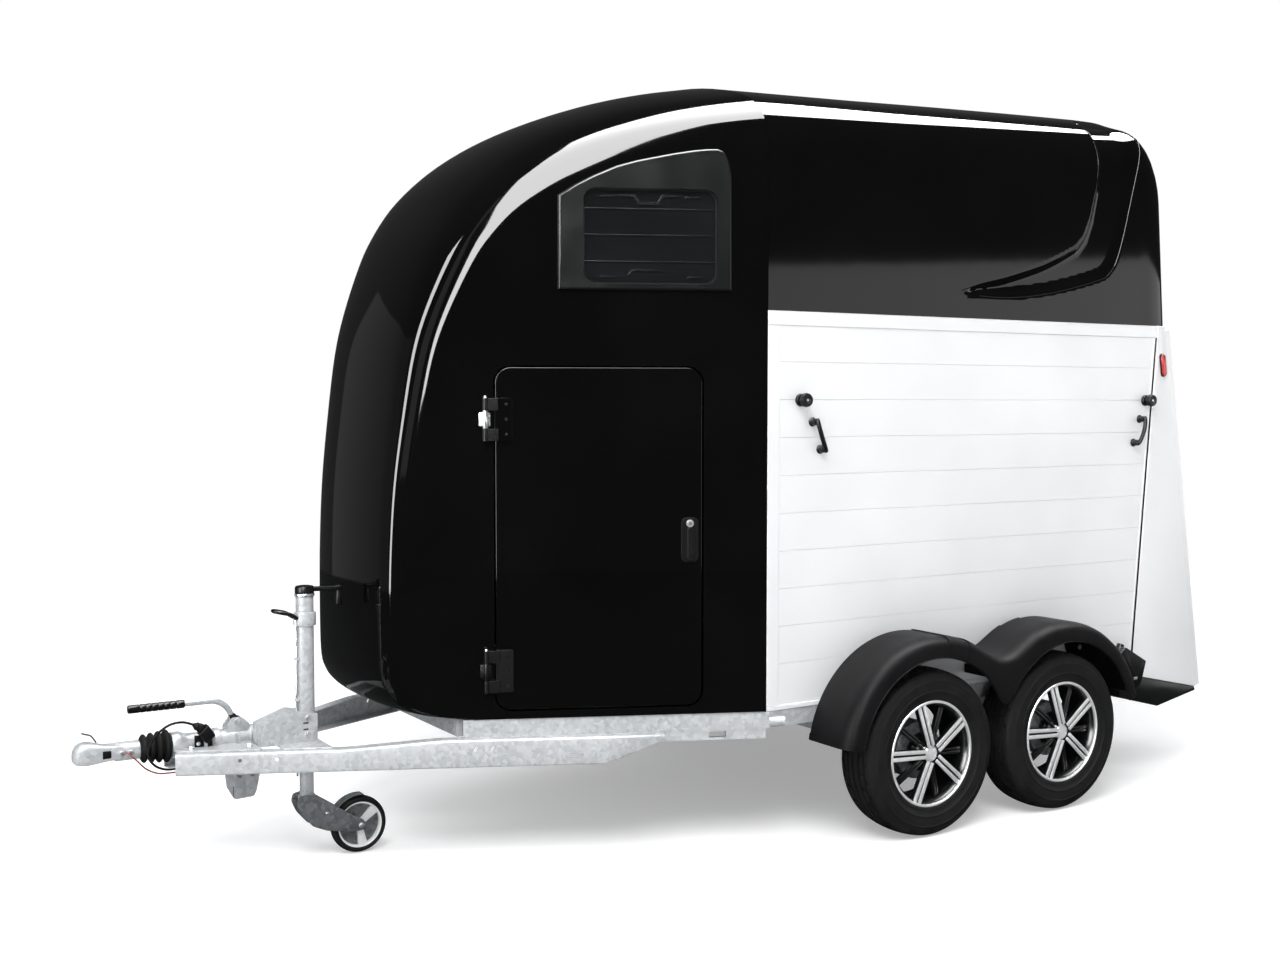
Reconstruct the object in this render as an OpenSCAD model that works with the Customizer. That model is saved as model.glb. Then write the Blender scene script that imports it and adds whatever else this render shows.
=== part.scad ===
// Two-horse trailer with a moulded hood, plank walls, a rear ramp and a tandem axle.
// X points forward, Y to the left and Z up. The ground is z = 0.
// Lengths along X are counted from the front axle, and place() moves the whole
// trailer so that x = 0 is the middle of its length.

/* [Overall] */
// Nose of the hood ahead to the tip of the coupling
nose_to_tip = 921; // [750:1:1100]
// Front axle to the rearmost edge of the ramp
tail_behind = 1740; // [1700:5:1850]
// Body width over the plank walls
body_width = 1760; // [1600:10:1800]

/* [Body heights] */
// Top of the chassis frame, where the floor and walls stand
base_z = 497; // [470:1:520]
// Top of the plank walls, where the roof begins
wall_top_z = 1903; // [1750:1:2000]
// Side edge of the roof at the seam, before its rounding
roof_edge_z = 2612; // [2500:1:2700]
// Crown of the roof at the seam
roof_crown_z = 2770; // [2700:1:2850]
// Extra height of the roof at the rear
roof_rise = 68; // [0:1:90]

/* [Body plan] */
// Front axle to the seam between hood and plank wall
seam_ahead = 613; // [560:1:680]
// Angle of the narrowing nose walls to the long axis
taper_angle = 24; // [18:0.5:26]
// Length of a narrowing nose wall
taper_length = 1308; // [1250:2:1340]
// Thickness of the moulded hood
hood_thick = 25; // [15:1:35]
// Thickness of the plank walls
wall_thick = 25; // [20:1:32]

/* [Nose doors] */
// Rear edge of the door, from the seam along the nose wall
door_from = 231; // [190:1:260]
// Door width
door_wide = 713; // [600:1:730]
// Door sill height
door_sill = 530; // [520:1:600]
// Door height
door_high = 1172; // [1000:1:1250]
// Thickness of the door leaf
door_thick = 30; // [20:1:36]
// Gap round a moving leaf
gap = 6; // [5:0.5:10]

/* [Windows] */
// Rear edge of the window frame, from the seam along the nose wall
window_from = 131; // [110:1:160]
// Window frame width
window_wide = 598; // [500:1:610]
// Lower edge of the window frame
window_sill = 1966; // [1930:1:1990]
// How far the window frame stands proud of the wall
window_proud = 14; // [6:1:20]

/* [Floor] */
// Front axle back to the end of the floor
floor_back = 1285; // [1200:5:1290]
// Thickness of the floor board
floor_thick = 18; // [12:1:24]

/* [Wheels] */
// Distance between the two axles
axle_spacing = 680; // [670:1:720]
// Tyre outside diameter
tyre_d = 615; // [590:1:635]
// Tyre width
tyre_w = 180; // [155:1:190]
// Rim lip diameter
rim_d = 390; // [360:1:410]
// Side wall out to the middle plane of a wheel
wheel_out = 105; // [100:1:120]
// Hub flange radius
hub_r = 72; // [60:1:80]

/* [Fenders] */
// Outer radius of a fender arch
fender_r = 428; // [420:1:440]
// Radius of the wheel opening in the outer skirt
opening_r = 346; // [335:1:356]
// Side wall out to the outer face of the fender
fender_out = 223; // [215:1:240]

/* [Chassis] */
// Height of the chassis rails
frame_h = 60; // [50:1:70]
// Width of the chassis rails
frame_w = 70; // [50:1:80]
// Bottom edge of the drawbars
drawbar_z = 340; // [330:1:350]
// Angle of a drawbar to the long axis
drawbar_angle = 25; // [22:0.5:26]
// Tip of the coupling back to the front end of the drawbars
drawbar_back = 310; // [290:5:360]
// Width of a drawbar flange
drawbar_w = 50; // [40:1:60]
// Sheet thickness of the drawbars
drawbar_t = 5; // [4:0.5:8]

/* [Coupling] */
// Height of the tow ball centre
ball_z = 430; // [400:1:450]
// Radius of the ball socket
socket_r = 25.5; // [25.2:0.1:26]
// Radius of the draw tube
draw_r = 25; // [20:1:28]
// Height of the handbrake's pivot
brake_z = 490; // [486:1:500]

/* [Jockey wheel] */
// Tip of the coupling back to the middle of the jockey tube
jockey_back = 745; // [725:1:765]
// Jockey tube from the centre line
jockey_y = 120; // [110:1:130]
// Jockey outer tube radius
jockey_r = 30; // [26:1:32]
// Jockey wheel diameter
jockey_wheel_d = 200; // [180:1:210]
// How far the jockey wheel trails behind its tube
jockey_trail = 185; // [170:1:190]

/* [Ramp] */
// Ramp thickness
ramp_thick = 30; // [24:1:36]
// Forward lean of the ramp
ramp_lean = 9; // [7:0.25:10]
// Lower edge of the ramp
ramp_foot_z = 352; // [345:1:365]

/* [Hidden] */
$fn = 64;

half_w = body_width / 2;
wheel_y = half_w + wheel_out;
fender_y = half_w + fender_out;
hub_z = tyre_d / 2;
frame_z = base_z - frame_h;
seat = 0.3;
drawbar_y = 78;
drawbar_step = 22;
galvanised = [0.72, 0.74, 0.75];
gloss_black = [0.06, 0.06, 0.07];
matt_black = [0.12, 0.12, 0.12];
plank_silver = [0.9, 0.9, 0.9];

module place() translate([-mid_x, 0, 0]) children();

module both_sides() {
  children();
  mirror([0, 1, 0]) children();
}

// Frame of the left nose wall: x along the wall from the seam, y outward, z up.
module on_taper() {
  translate([seam_ahead, half_w, 0]) rotate([0, 0, -taper_angle]) children();
}

// A plate standing in the nose wall's frame from y = y0 to y0 + thick.
module upright(y0, thick) {
  translate([0, y0 + thick, 0]) rotate([90, 0, 0]) linear_extrude(thick) children();
}

// A plate standing in the XZ plane of the trailer from y = y0 to y0 + thick.
module slab(y0, thick) upright(y0, thick) children();

module round_rect(w, h, r) {
  corner_r = min(r, w / 2 - 0.1, h / 2 - 0.1);
  translate([corner_r, 0]) square([w - 2 * corner_r, h]);
  translate([0, corner_r]) square([w, h - 2 * corner_r]);
  for (x = [corner_r, w - corner_r], y = [corner_r, h - corner_r])
    translate([x, y]) circle(corner_r);
}

// Hood

// One row for each line across the hood, from the nose's foot over the roof to
// the seam: distance along the nose wall and height of the sharp side edge,
// distance ahead of the axle and height of the middle, radius of the edge's
// rounding, and the slope of the skin's outward normal.
hood_lines = [
  [1060, 500, 1660, 500, 40, 0],
  [1165, 512, 1735, 510, 45, -35],
  [1242, 542, 1792, 540, 50, -40],
  [1286, 590, 1822, 590, 55, -30],
  [1306, 660, 1838, 664, 58, -10],
  [1308, 860, 1844, 870, 60, 0],
  [1304, 1070, 1840, 1090, 62, 3],
  [1290, 1300, 1826, 1326, 68, 6],
  [1260, 1535, 1798, 1562, 76, 9],
  [1225, 1752, 1764, 1778, 86, 15],
  [1180, 1905, 1722, 1932, 95, 22],
  [1104, 2082, 1652, 2112, 105, 32],
  [1040, 2190, 1592, 2226, 112, 40],
  [944, 2300, 1506, 2350, 122, 50],
  [822, 2390, 1396, 2458, 135, 60],
  [690, 2458, 1272, 2546, 148, 67],
  [540, 2514, 1128, 2620, 156, 73],
  [350, 2562, 945, 2690, 164, 79],
  [170, 2592, 775, 2738, 168, 84],
  [0, 2612, 613, 2770, 170, 90]
];

// Rows for the roof behind the seam: distance ahead of the axle, rise of the
// edge and of the crown over the seam's, radius, inset, and backward lean.
roof_lines = [
  [613, 0, 0, 170, 0, 0],
  [100, 0.3, 0.3, 166, 0, 0],
  [-500, 0.7, 0.7, 158, 0, 0],
  [-1100, 1.1, 1, 148, 0, 0.03],
  [-1300, 1.2, 0.95, 140, 0, 0.05],
  [-1390, 0.8, 0.5, 138, 0, 0.06],
  [-1450, -0.2, -0.6, 134, 8, 0.075],
  [-1480, -1.4, -1.9, 128, 24, 0.078],
  [-1492, -2.6, -3.2, 120, 46, 0.08]
];

arc_steps = 5;
top_steps = 5;

// The table's own first row, last row and longest row, which the driving sizes stretch.
foot_row = hood_lines[0];
seam_row = hood_lines[len(hood_lines) - 1];
longest = max([for (row = hood_lines) row[0]]);

function edge_height(z) =
  base_z + 3 + (z - foot_row[1]) * (roof_edge_z - base_z - 3) / (seam_row[1] - foot_row[1]);
function crown_height(z) =
  base_z + 3 + (z - foot_row[3]) * (roof_crown_z - base_z - 3) / (seam_row[3] - foot_row[3]);
function nose_x(x) =
  seam_ahead + (x - seam_row[2]) * taper_length * cos(taper_angle) / (longest * cos(24));
function along_wall(t) = t * taper_length / longest;

nose_tip = nose_x(max([for (row = hood_lines) row[2]]));
tip_ahead = nose_tip + nose_to_tip;
drawbar_front = tip_ahead - drawbar_back;
jockey_ahead = tip_ahead - jockey_back;
mid_x = (tip_ahead - tail_behind) / 2;

function quad(a, b, c, t) = a * (1 - t) * (1 - t) + b * 2 * t * (1 - t) + c * t * t;

// Half of one line across the hood: up the wall's rounding and over to the middle.
function half_line(corner, side, middle, r) =
  let (
    pull = [middle[0], middle[1] + corner[1] * 0.5, middle[2]],
    across = (pull - corner) / norm(pull - corner),
    start = corner + side * r,
    turn = corner + across * r
  )
  concat(
    [for (i = [0 : arc_steps]) quad(start, corner, turn, i / arc_steps)],
    [for (i = [1 : top_steps]) quad(turn, pull, middle, i / top_steps)]
  );

function whole_line(half) =
  concat(half, [for (i = [len(half) - 2 : -1 : 0]) [half[i][0], -half[i][1], half[i][2]]]);

function nose_line(row, inset) =
  let (
    t = along_wall(row[0]),
    lean = row[5],
    out = [cos(lean), 0, sin(lean)],
    corner = [
      seam_ahead + t * cos(taper_angle) - inset * out[0],
      half_w - t * sin(taper_angle) - inset * (1 - out[0] * sin(taper_angle)) / cos(taper_angle),
      edge_height(row[1]) - inset * out[2]
    ],
    side = [-cos(lean) * cos(taper_angle), cos(lean) * sin(taper_angle), -sin(lean)],
    middle = [nose_x(row[2]) - inset * out[0], 0, crown_height(row[3]) - inset * out[2]]
  )
  whole_line(half_line(corner, side, middle, row[4] - inset * 0.6));

function roof_line(row, inset, shift) =
  let (
    high = roof_edge_z + row[1] * roof_rise - inset,
    crown = roof_crown_z + row[2] * roof_rise - inset,
    lean = row[5],
    x = row[0] + seam_ahead - seam_row[2] + shift,
    raw = half_line(
      [x, half_w - row[4] - inset, high], [0, 0, -1], [x, 0, crown],
      row[3] - inset * 0.6
    )
  )
  whole_line([for (p = raw) [p[0] + lean * (p[2] - wall_top_z), p[1], p[2]]]);

// Inner face of the hood's rear wall, behind the front axle.
blind_back = 1412;

// Closes a run of lines to a solid: feet gives each line's two points on the floor.
module loft(lines, feet) {
  m = len(lines[0]);
  n = len(lines);
  count = m + 2;
  rings = [for (i = [0 : n - 1]) concat([feet[i][0]], lines[i], [feet[i][1]])];
  points = [for (ring = rings) each ring];
  polyhedron(
    points = points,
    faces = concat(
      [for (i = [0 : n - 2], j = [0 : count - 1])
        let (k = (j + 1) % count)
        [i * count + j, i * count + k, (i + 1) * count + j]],
      [for (i = [0 : n - 2], j = [0 : count - 1])
        let (k = (j + 1) % count)
        [i * count + k, (i + 1) * count + k, (i + 1) * count + j]],
      [[for (j = [count - 1 : -1 : 0]) j]],
      [[for (j = [0 : count - 1]) (n - 1) * count + j]]
    )
  );
}

// Nose solid from its foot to the seam; the floor points fan out of the seam.
module nose_solid(inset, low) {
  lines = [for (row = hood_lines) nose_line(row, inset)];
  m = len(lines[0]);
  n = len(lines);
  flat = [for (line = lines) each line];
  left_foot = n * m;
  right_foot = n * m + 1;
  left_toe = n * m + 2;
  right_toe = n * m + 3;
  foot_y = half_w - inset / cos(taper_angle);
  points = concat(flat, [
    [seam_ahead, foot_y, low], [seam_ahead, -foot_y, low],
    [lines[0][0][0], lines[0][0][1], low], [lines[0][m - 1][0], lines[0][m - 1][1], low]
  ]);
  below = [for (p = lines[0]) [p[0], p[1], low]];
  polyhedron(
    points = concat(points, below),
    faces = concat(
      [for (i = [0 : n - 2], j = [0 : m - 2])
        [i * m + j, i * m + j + 1, (i + 1) * m + j]],
      [for (i = [0 : n - 2], j = [0 : m - 2])
        [i * m + j + 1, (i + 1) * m + j + 1, (i + 1) * m + j]],
      [for (i = [0 : n - 2]) [left_foot, i * m, (i + 1) * m]],
      [for (i = [0 : n - 2]) [right_foot, (i + 1) * m + m - 1, i * m + m - 1]],
      [[for (j = [0 : m - 1]) (n - 1) * m + j, right_foot, left_foot]],
      [for (j = [0 : m - 2]) [j, n * m + 4 + j, n * m + 5 + j]],
      [for (j = [0 : m - 2]) [j, n * m + 5 + j, j + 1]],
      [[left_foot, n * m + 4, 0], [right_foot, m - 1, n * m + 3 + m]],
      [concat([left_foot, right_foot], [for (j = [m - 1 : -1 : 0]) n * m + 4 + j])]
    )
  );
}

module roof_solid(inset, low, shift) {
  lines = [for (row = roof_lines) roof_line(row, inset, shift)];
  m = len(lines[0]);
  feet = [for (i = [0 : len(lines) - 1])
    let (
      row = roof_lines[i],
      x = row[0] + seam_ahead - seam_row[2] + shift + row[5] * (low - wall_top_z)
    )
    [[x, lines[i][0][1], low], [x, -lines[i][0][1], low]]];
  loft(lines, feet);
}

// Lower ends of the door hinges, and the length of a knuckle on the door.
hinge_low = [592, 1452];
knuckle = 42;

module door_opening(grow) {
  translate([door_from - grow, door_sill - grow])
    round_rect(door_wide + 2 * grow, door_high + 2 * grow, 52 + grow);
}

// Window frame outline, with the curved upper edge that follows the roof.
window_top = [
  [0, 0], [598, 0], [598, 318], [480, 385], [398, 420], [264, 453], [134, 477],
  [50, 483], [14, 455], [0, 388]
];

module window_outline() {
  translate([window_from, window_sill]) scale([window_wide / 598, 1]) polygon(window_top);
}

module window_hole(grow) {
  translate([window_from + 50 - grow, window_sill + 20 - grow])
    round_rect(463 * window_wide / 598 + 2 * grow, 324 + 2 * grow, 42 + grow);
}

module front_hood() color(gloss_black) place() {
  difference() {
    nose_solid(0, base_z + 0.3);
    translate([-hood_thick * 0.02, 0, 0]) nose_solid(hood_thick, base_z - 20);
    translate([seam_ahead - 300, -half_w, 0]) cube([300, body_width, 3000]);
    both_sides() on_taper() upright(-60, 120) door_opening(gap);
    both_sides() on_taper() upright(-60, 120) window_hole(12);
  }
  both_sides() on_taper() {
    for (z = hinge_low) translate([door_from + door_wide, 0, z]) {
      translate([17, -0.3, 50]) cube([38, 12, 46]);
      translate([27, 5, 50]) cube([14, 14, 46]);
      translate([34, 20, knuckle + seat]) cylinder(r = 9, h = 61 - 2 * seat);
    }
  }
}

// Blade-shaped scoop in the roof's side: distance ahead of the axle, height over the wall.
scoop = [
  [-1042, 620], [-1032, 535], [-1001, 416], [-968, 343], [-926, 300], [-843, 261],
  [-720, 214], [-521, 153], [-385, 104], [-617, 98], [-763, 117], [-896, 143],
  [-1015, 172], [-1084, 192], [-1144, 243], [-1172, 292], [-1201, 377], [-1224, 456],
  [-1245, 620]
];
scoop_deep = 12;

module roof_hood() color(gloss_black) place() {
  difference() {
    roof_solid(0, wall_top_z + 0.3, -0.3);
    both_sides() translate([seam_ahead - seam_row[2], 0, wall_top_z])
      slab(half_w - scoop_deep, 3 * scoop_deep) polygon(scoop);
    difference() {
      roof_solid(hood_thick, wall_top_z - 20, -0.3);
      translate([-2 * tail_behind, -half_w, 0]) cube([2 * tail_behind - blind_back, body_width, 3000]);
    }
    translate([seam_ahead - 40, -half_w + hood_thick, wall_top_z - 30])
      cube([80, body_width - 2 * hood_thick, roof_edge_z - 170 - wall_top_z]);
    translate([-tail_behind, -half_w + 130, wall_top_z - 40])
      cube([tail_behind - 1300, body_width - 260, 560]);
  }
}

module door_leaf() {
  on_taper() {
    difference() {
      upright(-door_thick, door_thick) door_opening(0);
      translate([door_from + 16, -12, 1030]) cube([56, 20, 150]);
    }
    translate([door_from + 28, -13, 1050]) cube([30, 12, 90]);
    translate([door_from + 44, -13, 1165]) rotate([-90, 0, 0]) cylinder(r = 11, h = 16);
    for (z = hinge_low) {
      translate([door_from + door_wide - 58, -0.3, z]) cube([57 + gap / 2, 10, 146]);
      for (up = [0, 103]) translate([door_from + door_wide, 0, z + up]) {
        translate([34, 20, 0]) cylinder(r = 9, h = knuckle);
        translate([-10, 5, 0]) cube([44, 14, knuckle]);
      }
    }
  }
}

module door_left() color(gloss_black) place() door_leaf();

module door_right() color(gloss_black) place() mirror([0, 1, 0]) door_leaf();

module window_frame() {
  on_taper() difference() {
    union() {
      upright(0.3, window_proud) window_outline();
      upright(-hood_thick - 4, hood_thick + 5) window_hole(11);
      upright(window_proud - 4, 9) window_hole(24);
    }
    upright(window_proud - 1, 20) window_hole(6);
    upright(-60, 120) window_hole(-14);
    upright(-12, 40) window_hole(-2);
  }
}

module window_frames() color(matt_black) place() both_sides() window_frame();

module window_panes() color([0.1, 0.12, 0.14, 0.6]) place() both_sides() on_taper()
  upright(-12, 5) window_hole(-2.3);

// Plank walls and rear posts

frame_proud = 4;
seal_top = 1420;
seal_low = 1296;
plank_high = 133;
plank_joint = 3;

// Rear end of the planks at a height, along the slanted seal.
function seal_x(z) =
  -seal_low - (seal_top - seal_low) * (z - base_z) / (wall_top_z - base_z);

// Joints between the planks, counted down from the top rail.
plank_joints = [for (z = [wall_top_z - 45 - plank_high : -plank_high : base_z + 60]) z];

// Just ahead of the closed ramp's inner face at a height.
function ramp_inner_x(z) =
  (z - ramp_foot_z) * tan(ramp_lean) - tail_behind + ramp_thick / cos(ramp_lean) + 0.5;

module wall_side() {
  difference() {
    slab(half_w - wall_thick, wall_thick - frame_proud) polygon([
      [seam_ahead - 1, base_z], [seam_ahead - 1, wall_top_z], [-seal_top, wall_top_z],
      [-seal_low, base_z]
    ]);
    for (z = plank_joints) translate([seal_x(z) + 20, half_w - frame_proud - 1.5, z])
      cube([seam_ahead - 53 - seal_x(z) - 20, 4, plank_joint]);
  }
  slab(half_w - wall_thick, wall_thick) {
    polygon([
      [seam_ahead - 1, wall_top_z - 51], [seam_ahead - 1, wall_top_z],
      [-seal_top, wall_top_z], [-seal_top + 4, wall_top_z - 51]
    ]);
    translate([seam_ahead - 51, base_z]) square([50, wall_top_z - base_z]);
    translate([-seal_low, base_z]) square([seam_ahead + seal_low - 1, 40]);
    polygon([
      [-seal_low, base_z], [-seal_low + 18, base_z], [-seal_top + 18, wall_top_z],
      [-seal_top, wall_top_z]
    ]);
  }
}

module wall_left() color(plank_silver) place() wall_side();

module wall_right() color(plank_silver) place() mirror([0, 1, 0]) wall_side();

module rear_post() {
  slab(half_w - 62, 62) polygon([
    [-seal_top - 1, wall_top_z], [ramp_inner_x(wall_top_z), wall_top_z],
    [ramp_inner_x(350), 350], [-1308, frame_z], [-seal_low - 1, base_z]
  ]);
}

module rear_post_left() color(plank_silver) place() rear_post();

module rear_post_right() color(plank_silver) place() mirror([0, 1, 0]) rear_post();

// Chassis

module drawbar_outline(inset) {
  low = drawbar_z + inset;
  high = frame_z - seat - inset;
  long = (half_w - 109 - drawbar_y) / sin(drawbar_angle);
  polygon([
    [0, low], [long - 200, low], [long, high - 20], [long, high], [870, high],
    [560, high - drawbar_step], [0, high - drawbar_step]
  ]);
}

module drawbar_side() {
  difference() {
    translate([drawbar_front, drawbar_y, 0]) rotate([0, 0, 180 - drawbar_angle]) difference() {
      translate([0, drawbar_w, 0]) rotate([90, 0, 0]) linear_extrude(drawbar_w)
        drawbar_outline(0);
      translate([-1, drawbar_w + 1, 0]) rotate([90, 0, 0])
        linear_extrude(drawbar_w - drawbar_t + 1) drawbar_outline(drawbar_t);
      translate([-2, drawbar_t, drawbar_z + drawbar_t])
        cube([4, drawbar_w, frame_z - drawbar_step - seat - drawbar_z - 2 * drawbar_t]);
      for (x = [210, 331]) translate([x, -1, drawbar_z + 48]) rotate([-90, 0, 0])
        cylinder(r = 7, h = drawbar_t + 2);
      for (x = [992, 1048]) translate([x, -1, drawbar_z + 52]) rotate([0, 30, 0])
        cube([9, drawbar_t + 2, 26]);
    }
    translate([1600, -52, 0]) cube([1400, 104, 600]);
  }
}

module drawbar_left() color(galvanised) place() drawbar_side();

module drawbar_right() color(galvanised) place() mirror([0, 1, 0]) drawbar_side();

module rail(length, height) {
  difference() {
    cube([length, frame_w, height]);
    translate([-1, -1, 5]) cube([length + 2, frame_w - 4, height - 10]);
  }
}

// Half the length of a cross beam between the nose rails, to the middle of each rail.
function nose_beam(x) =
  half_w - (x - seam_ahead) * tan(taper_angle) - (5 + frame_w / 2) / cos(taper_angle);

module chassis_frame() color(galvanised) place() {
  frame_back = floor_back + 5;
  both_sides() {
    translate([-frame_back, half_w - 5 - frame_w, frame_z])
      rail(seam_ahead + frame_back, frame_h);
    on_taper() {
      translate([-12, -5 - frame_w, frame_z]) rail(taper_length - 238, frame_h);
      translate([-70, -22, frame_z + 22]) rotate([0, 90, 0]) cylinder(r = 17, h = 120);
      difference() {
        translate([0, -32, frame_z - 35]) cube([440, 25, 35.3]);
        translate([142, -40, frame_z - 28]) cube([60, 40, 22]);
      }
    }
  }
  for (x = [-frame_back, 40 - axle_spacing, -60, seam_ahead - 33])
    translate([x, 5 - half_w + frame_w, frame_z])
      cube([50, body_width - 10 - 2 * frame_w, frame_h]);
  for (x = [seam_ahead + 487, seam_ahead + (taper_length - 293) * cos(taper_angle)])
    translate([x, -nose_beam(x), frame_z]) cube([50, 2 * nose_beam(x), frame_h]);
}

module axle_beam() {
  beam_x = 135;
  beam_z = 362;
  plate_y = half_w - 12;
  arm_y = half_w - 80;
  disc_y = wheel_y - 8;
  translate([beam_x - 35, -arm_y, beam_z - 35]) cube([70, 2 * arm_y, 70]);
  translate([beam_x - 12, -8, rod_z + rod_r + seat]) cube([24, 16, beam_z - 30 - rod_z - rod_r]);
  both_sides() {
    translate([beam_x - 60, arm_y - 100, beam_z + 30])
      cube([120, 170, frame_z - beam_z - 30 - seat]);
    difference() {
      slab(arm_y, 36) polygon([
        [beam_x + 45, beam_z - 30], [beam_x + 45, beam_z + 34], [beam_x - 20, beam_z + 38],
        [-40, hub_z + 36], [-44, hub_z - 30], [10, hub_z - 42]
      ]);
      translate([60, arm_y - 10, 335]) rotate([-90, 0, 0]) cylinder(r = 14, h = 60);
    }
    translate([0, arm_y + 34, hub_z]) rotate([-90, 0, 0])
      cylinder(r = 34, h = plate_y - arm_y - 30);
    translate([0, plate_y, hub_z]) rotate([-90, 0, 0]) cylinder(r = 112, h = 8);
    translate([0, plate_y, hub_z]) rotate([-90, 0, 0])
      cylinder(r = 19, h = disc_y - seat - plate_y);
  }
}

module front_axle() color(galvanised) place() axle_beam();

module rear_axle() color(galvanised) place() translate([-axle_spacing, 0, 0]) axle_beam();

module floor_board() color([0.35, 0.3, 0.25]) place() {
  inner = half_w - wall_thick - 2;
  aside = wall_thick + 3;
  nose = taper_length - 308;
  corner = [
    seam_ahead + nose * cos(taper_angle) - aside * sin(taper_angle),
    half_w - nose * sin(taper_angle) - aside * cos(taper_angle)
  ];
  half = [
    [-floor_back, inner], [seam_ahead - 20, inner],
    [seam_ahead - aside * sin(taper_angle), half_w - aside * cos(taper_angle) - 2], corner,
    corner + [44, -92], corner + [84, -250]
  ];
  translate([0, 0, base_z + seat]) linear_extrude(floor_thick) polygon(
    concat(half, [for (i = [len(half) - 1 : -1 : 0]) [half[i][0], -half[i][1]]])
  );
}

// Wheels: like pieces from one table of body names, sides and axles.

module tyre() {
  r = tyre_d / 2;
  w = tyre_w / 2;
  bead = rim_d / 2 - 8;
  rotate([90, 0, 0]) rotate_extrude() polygon([
    [bead, -w + 22], [bead + 14, -w + 8], [r - 62, -w], [r - 30, -w + 6], [r - 9, -w + 18],
    [r - 1, -w + 34], [r, 0], [r - 1, w - 34], [r - 9, w - 18], [r - 30, w - 6],
    [r - 62, w], [bead + 14, w - 8], [bead, w - 22]
  ]);
}

// The rim's outer face looks along +Y.
module rim() {
  r = rim_d / 2;
  w = tyre_w / 2;
  rotate([-90, 0, 0]) {
    rotate_extrude() polygon([
      [r - 8.3, -w + 22], [r, -w + 14], [r, -w + 10], [r - 20, -w + 14], [r - 24, w - 40],
      [r - 16, w - 12], [r - 5, w - 8], [r, w - 12], [r - 8.3, w - 22]
    ]);
    translate([0, 0, 10]) cylinder(r = hub_r, h = 30);
    translate([0, 0, 10]) cylinder(r = 31, h = w - 30);
    translate([0, 0, -108]) difference() {
      cylinder(r = 106, h = 120);
      translate([0, 0, -1]) cylinder(r = 100, h = 101);
    }
    translate([0, 0, 10]) cylinder(r = r - 21, h = 8);
    for (i = [0 : 4]) rotate([0, 0, 105 + 72 * i]) {
      for (side = [-1, 1])
        translate([26, side * 9 - 6, w - 44]) rotate([0, -6, 0]) cube([r - 44, 12, 22]);
      rotate([0, 0, 36]) translate([26, -9, w - 58]) cube([r - 43, 18, 17]);
      rotate([0, 0, 36]) translate([50, 0, 36]) cylinder(r = 8, h = 18);
    }
  }
}

function wheel_at(axle, side) = [-axle * axle_spacing, side * wheel_y, hub_z];

module tyre_front_left() color(matt_black) place() translate(wheel_at(0, 1)) tyre();

module tyre_front_right() color(matt_black) place() translate(wheel_at(0, -1)) tyre();

module tyre_rear_left() color(matt_black) place() translate(wheel_at(1, 1)) tyre();

module tyre_rear_right() color(matt_black) place() translate(wheel_at(1, -1)) tyre();

module rim_front_left() color(galvanised) place() translate(wheel_at(0, 1)) rim();

module rim_front_right() color(galvanised) place() translate(wheel_at(0, -1))
  mirror([0, 1, 0]) rim();

module rim_rear_left() color(galvanised) place() translate(wheel_at(1, 1)) rim();

module rim_rear_right() color(galvanised) place() translate(wheel_at(1, -1))
  mirror([0, 1, 0]) rim();

// Fenders

// One arch: skin and rounded outer lip, swept round the hub from angle a to b.
module arch(a, b) {
  deep = fender_y - half_w - 0.3;
  lip = 26;
  rotate([90, 0, 0]) rotate([0, 0, a]) rotate_extrude(angle = b - a) polygon([
    [fender_r - 8, -half_w - 0.3], [fender_r, -half_w - 0.3],
    [fender_r, lip - fender_y], [fender_r - 5, 10 - fender_y],
    [fender_r - 18, 2 - fender_y], [fender_r - 30, -fender_y],
    [opening_r, 4 - fender_y], [opening_r, 12 - fender_y],
    [fender_r - 30, 9 - fender_y], [fender_r - 16, 14 - fender_y],
    [fender_r - 8, lip + 4 - fender_y]
  ]);
}

// A raised band on an arch's skin, from angle a to b.
module arch_band(a, b, rise) {
  rotate([90, 0, 0]) rotate([0, 0, a]) rotate_extrude(angle = b - a) polygon([
    [fender_r - 3 - rise / 3, -half_w - 1 - rise / 3], [fender_r + rise, -half_w - 1 - rise / 3],
    [fender_r + rise, 32 + rise - fender_y], [fender_r - 3 - rise / 3, 32 + rise - fender_y]
  ]);
}

module fender() {
  middle = -axle_spacing / 2;
  tip_z = hub_z + 150;
  difference() {
    union() {
      intersection() {
        translate([0, 0, hub_z]) {
          arch(9, 152);
          arch_band(9.6, 14, 3);
          arch_band(98, 152, 3);
          arch_band(112, 152, 6);
        }
        translate([middle + 3, half_w, 0])
          cube([2.1 * fender_r, fender_out + 80, 2.1 * fender_r]);
      }
      intersection() {
        translate([-axle_spacing, 0, hub_z]) {
          arch(28, 167);
          arch_band(28, 82, 3);
          arch_band(28, 68, 6);
        }
        translate([middle - 3 - 2.1 * fender_r, half_w, 0])
          cube([2.1 * fender_r, fender_out + 80, 2.1 * fender_r]);
      }
      translate([middle - 8, fender_y - 15, tip_z - 10]) cube([16, 12, 120]);
    }
    translate([middle - 70, fender_y - 40, hub_z]) cube([140, 60, tip_z - hub_z]);
  }
  translate([middle - 8, half_w + 2, 536]) cube([16, fender_y - half_w - 13, 40]);
  slab(half_w + 1, fender_y - half_w - 17) difference() {
    translate([middle - 130, 566]) square([260, 90]);
    for (x = [0, -axle_spacing]) translate([x, hub_z]) circle(fender_r - 4, $fn = 96);
    translate([middle, 790]) circle(150, $fn = 96);
  }
}

module fender_left() color(matt_black) place() fender();

module fender_right() color(matt_black) place() mirror([0, 1, 0]) fender();

// Coupling and overrun brake

module along_x(x, y, z, r, length) {
  translate([x, y, z]) rotate([0, 90, 0]) cylinder(r = r, h = length);
}

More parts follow.
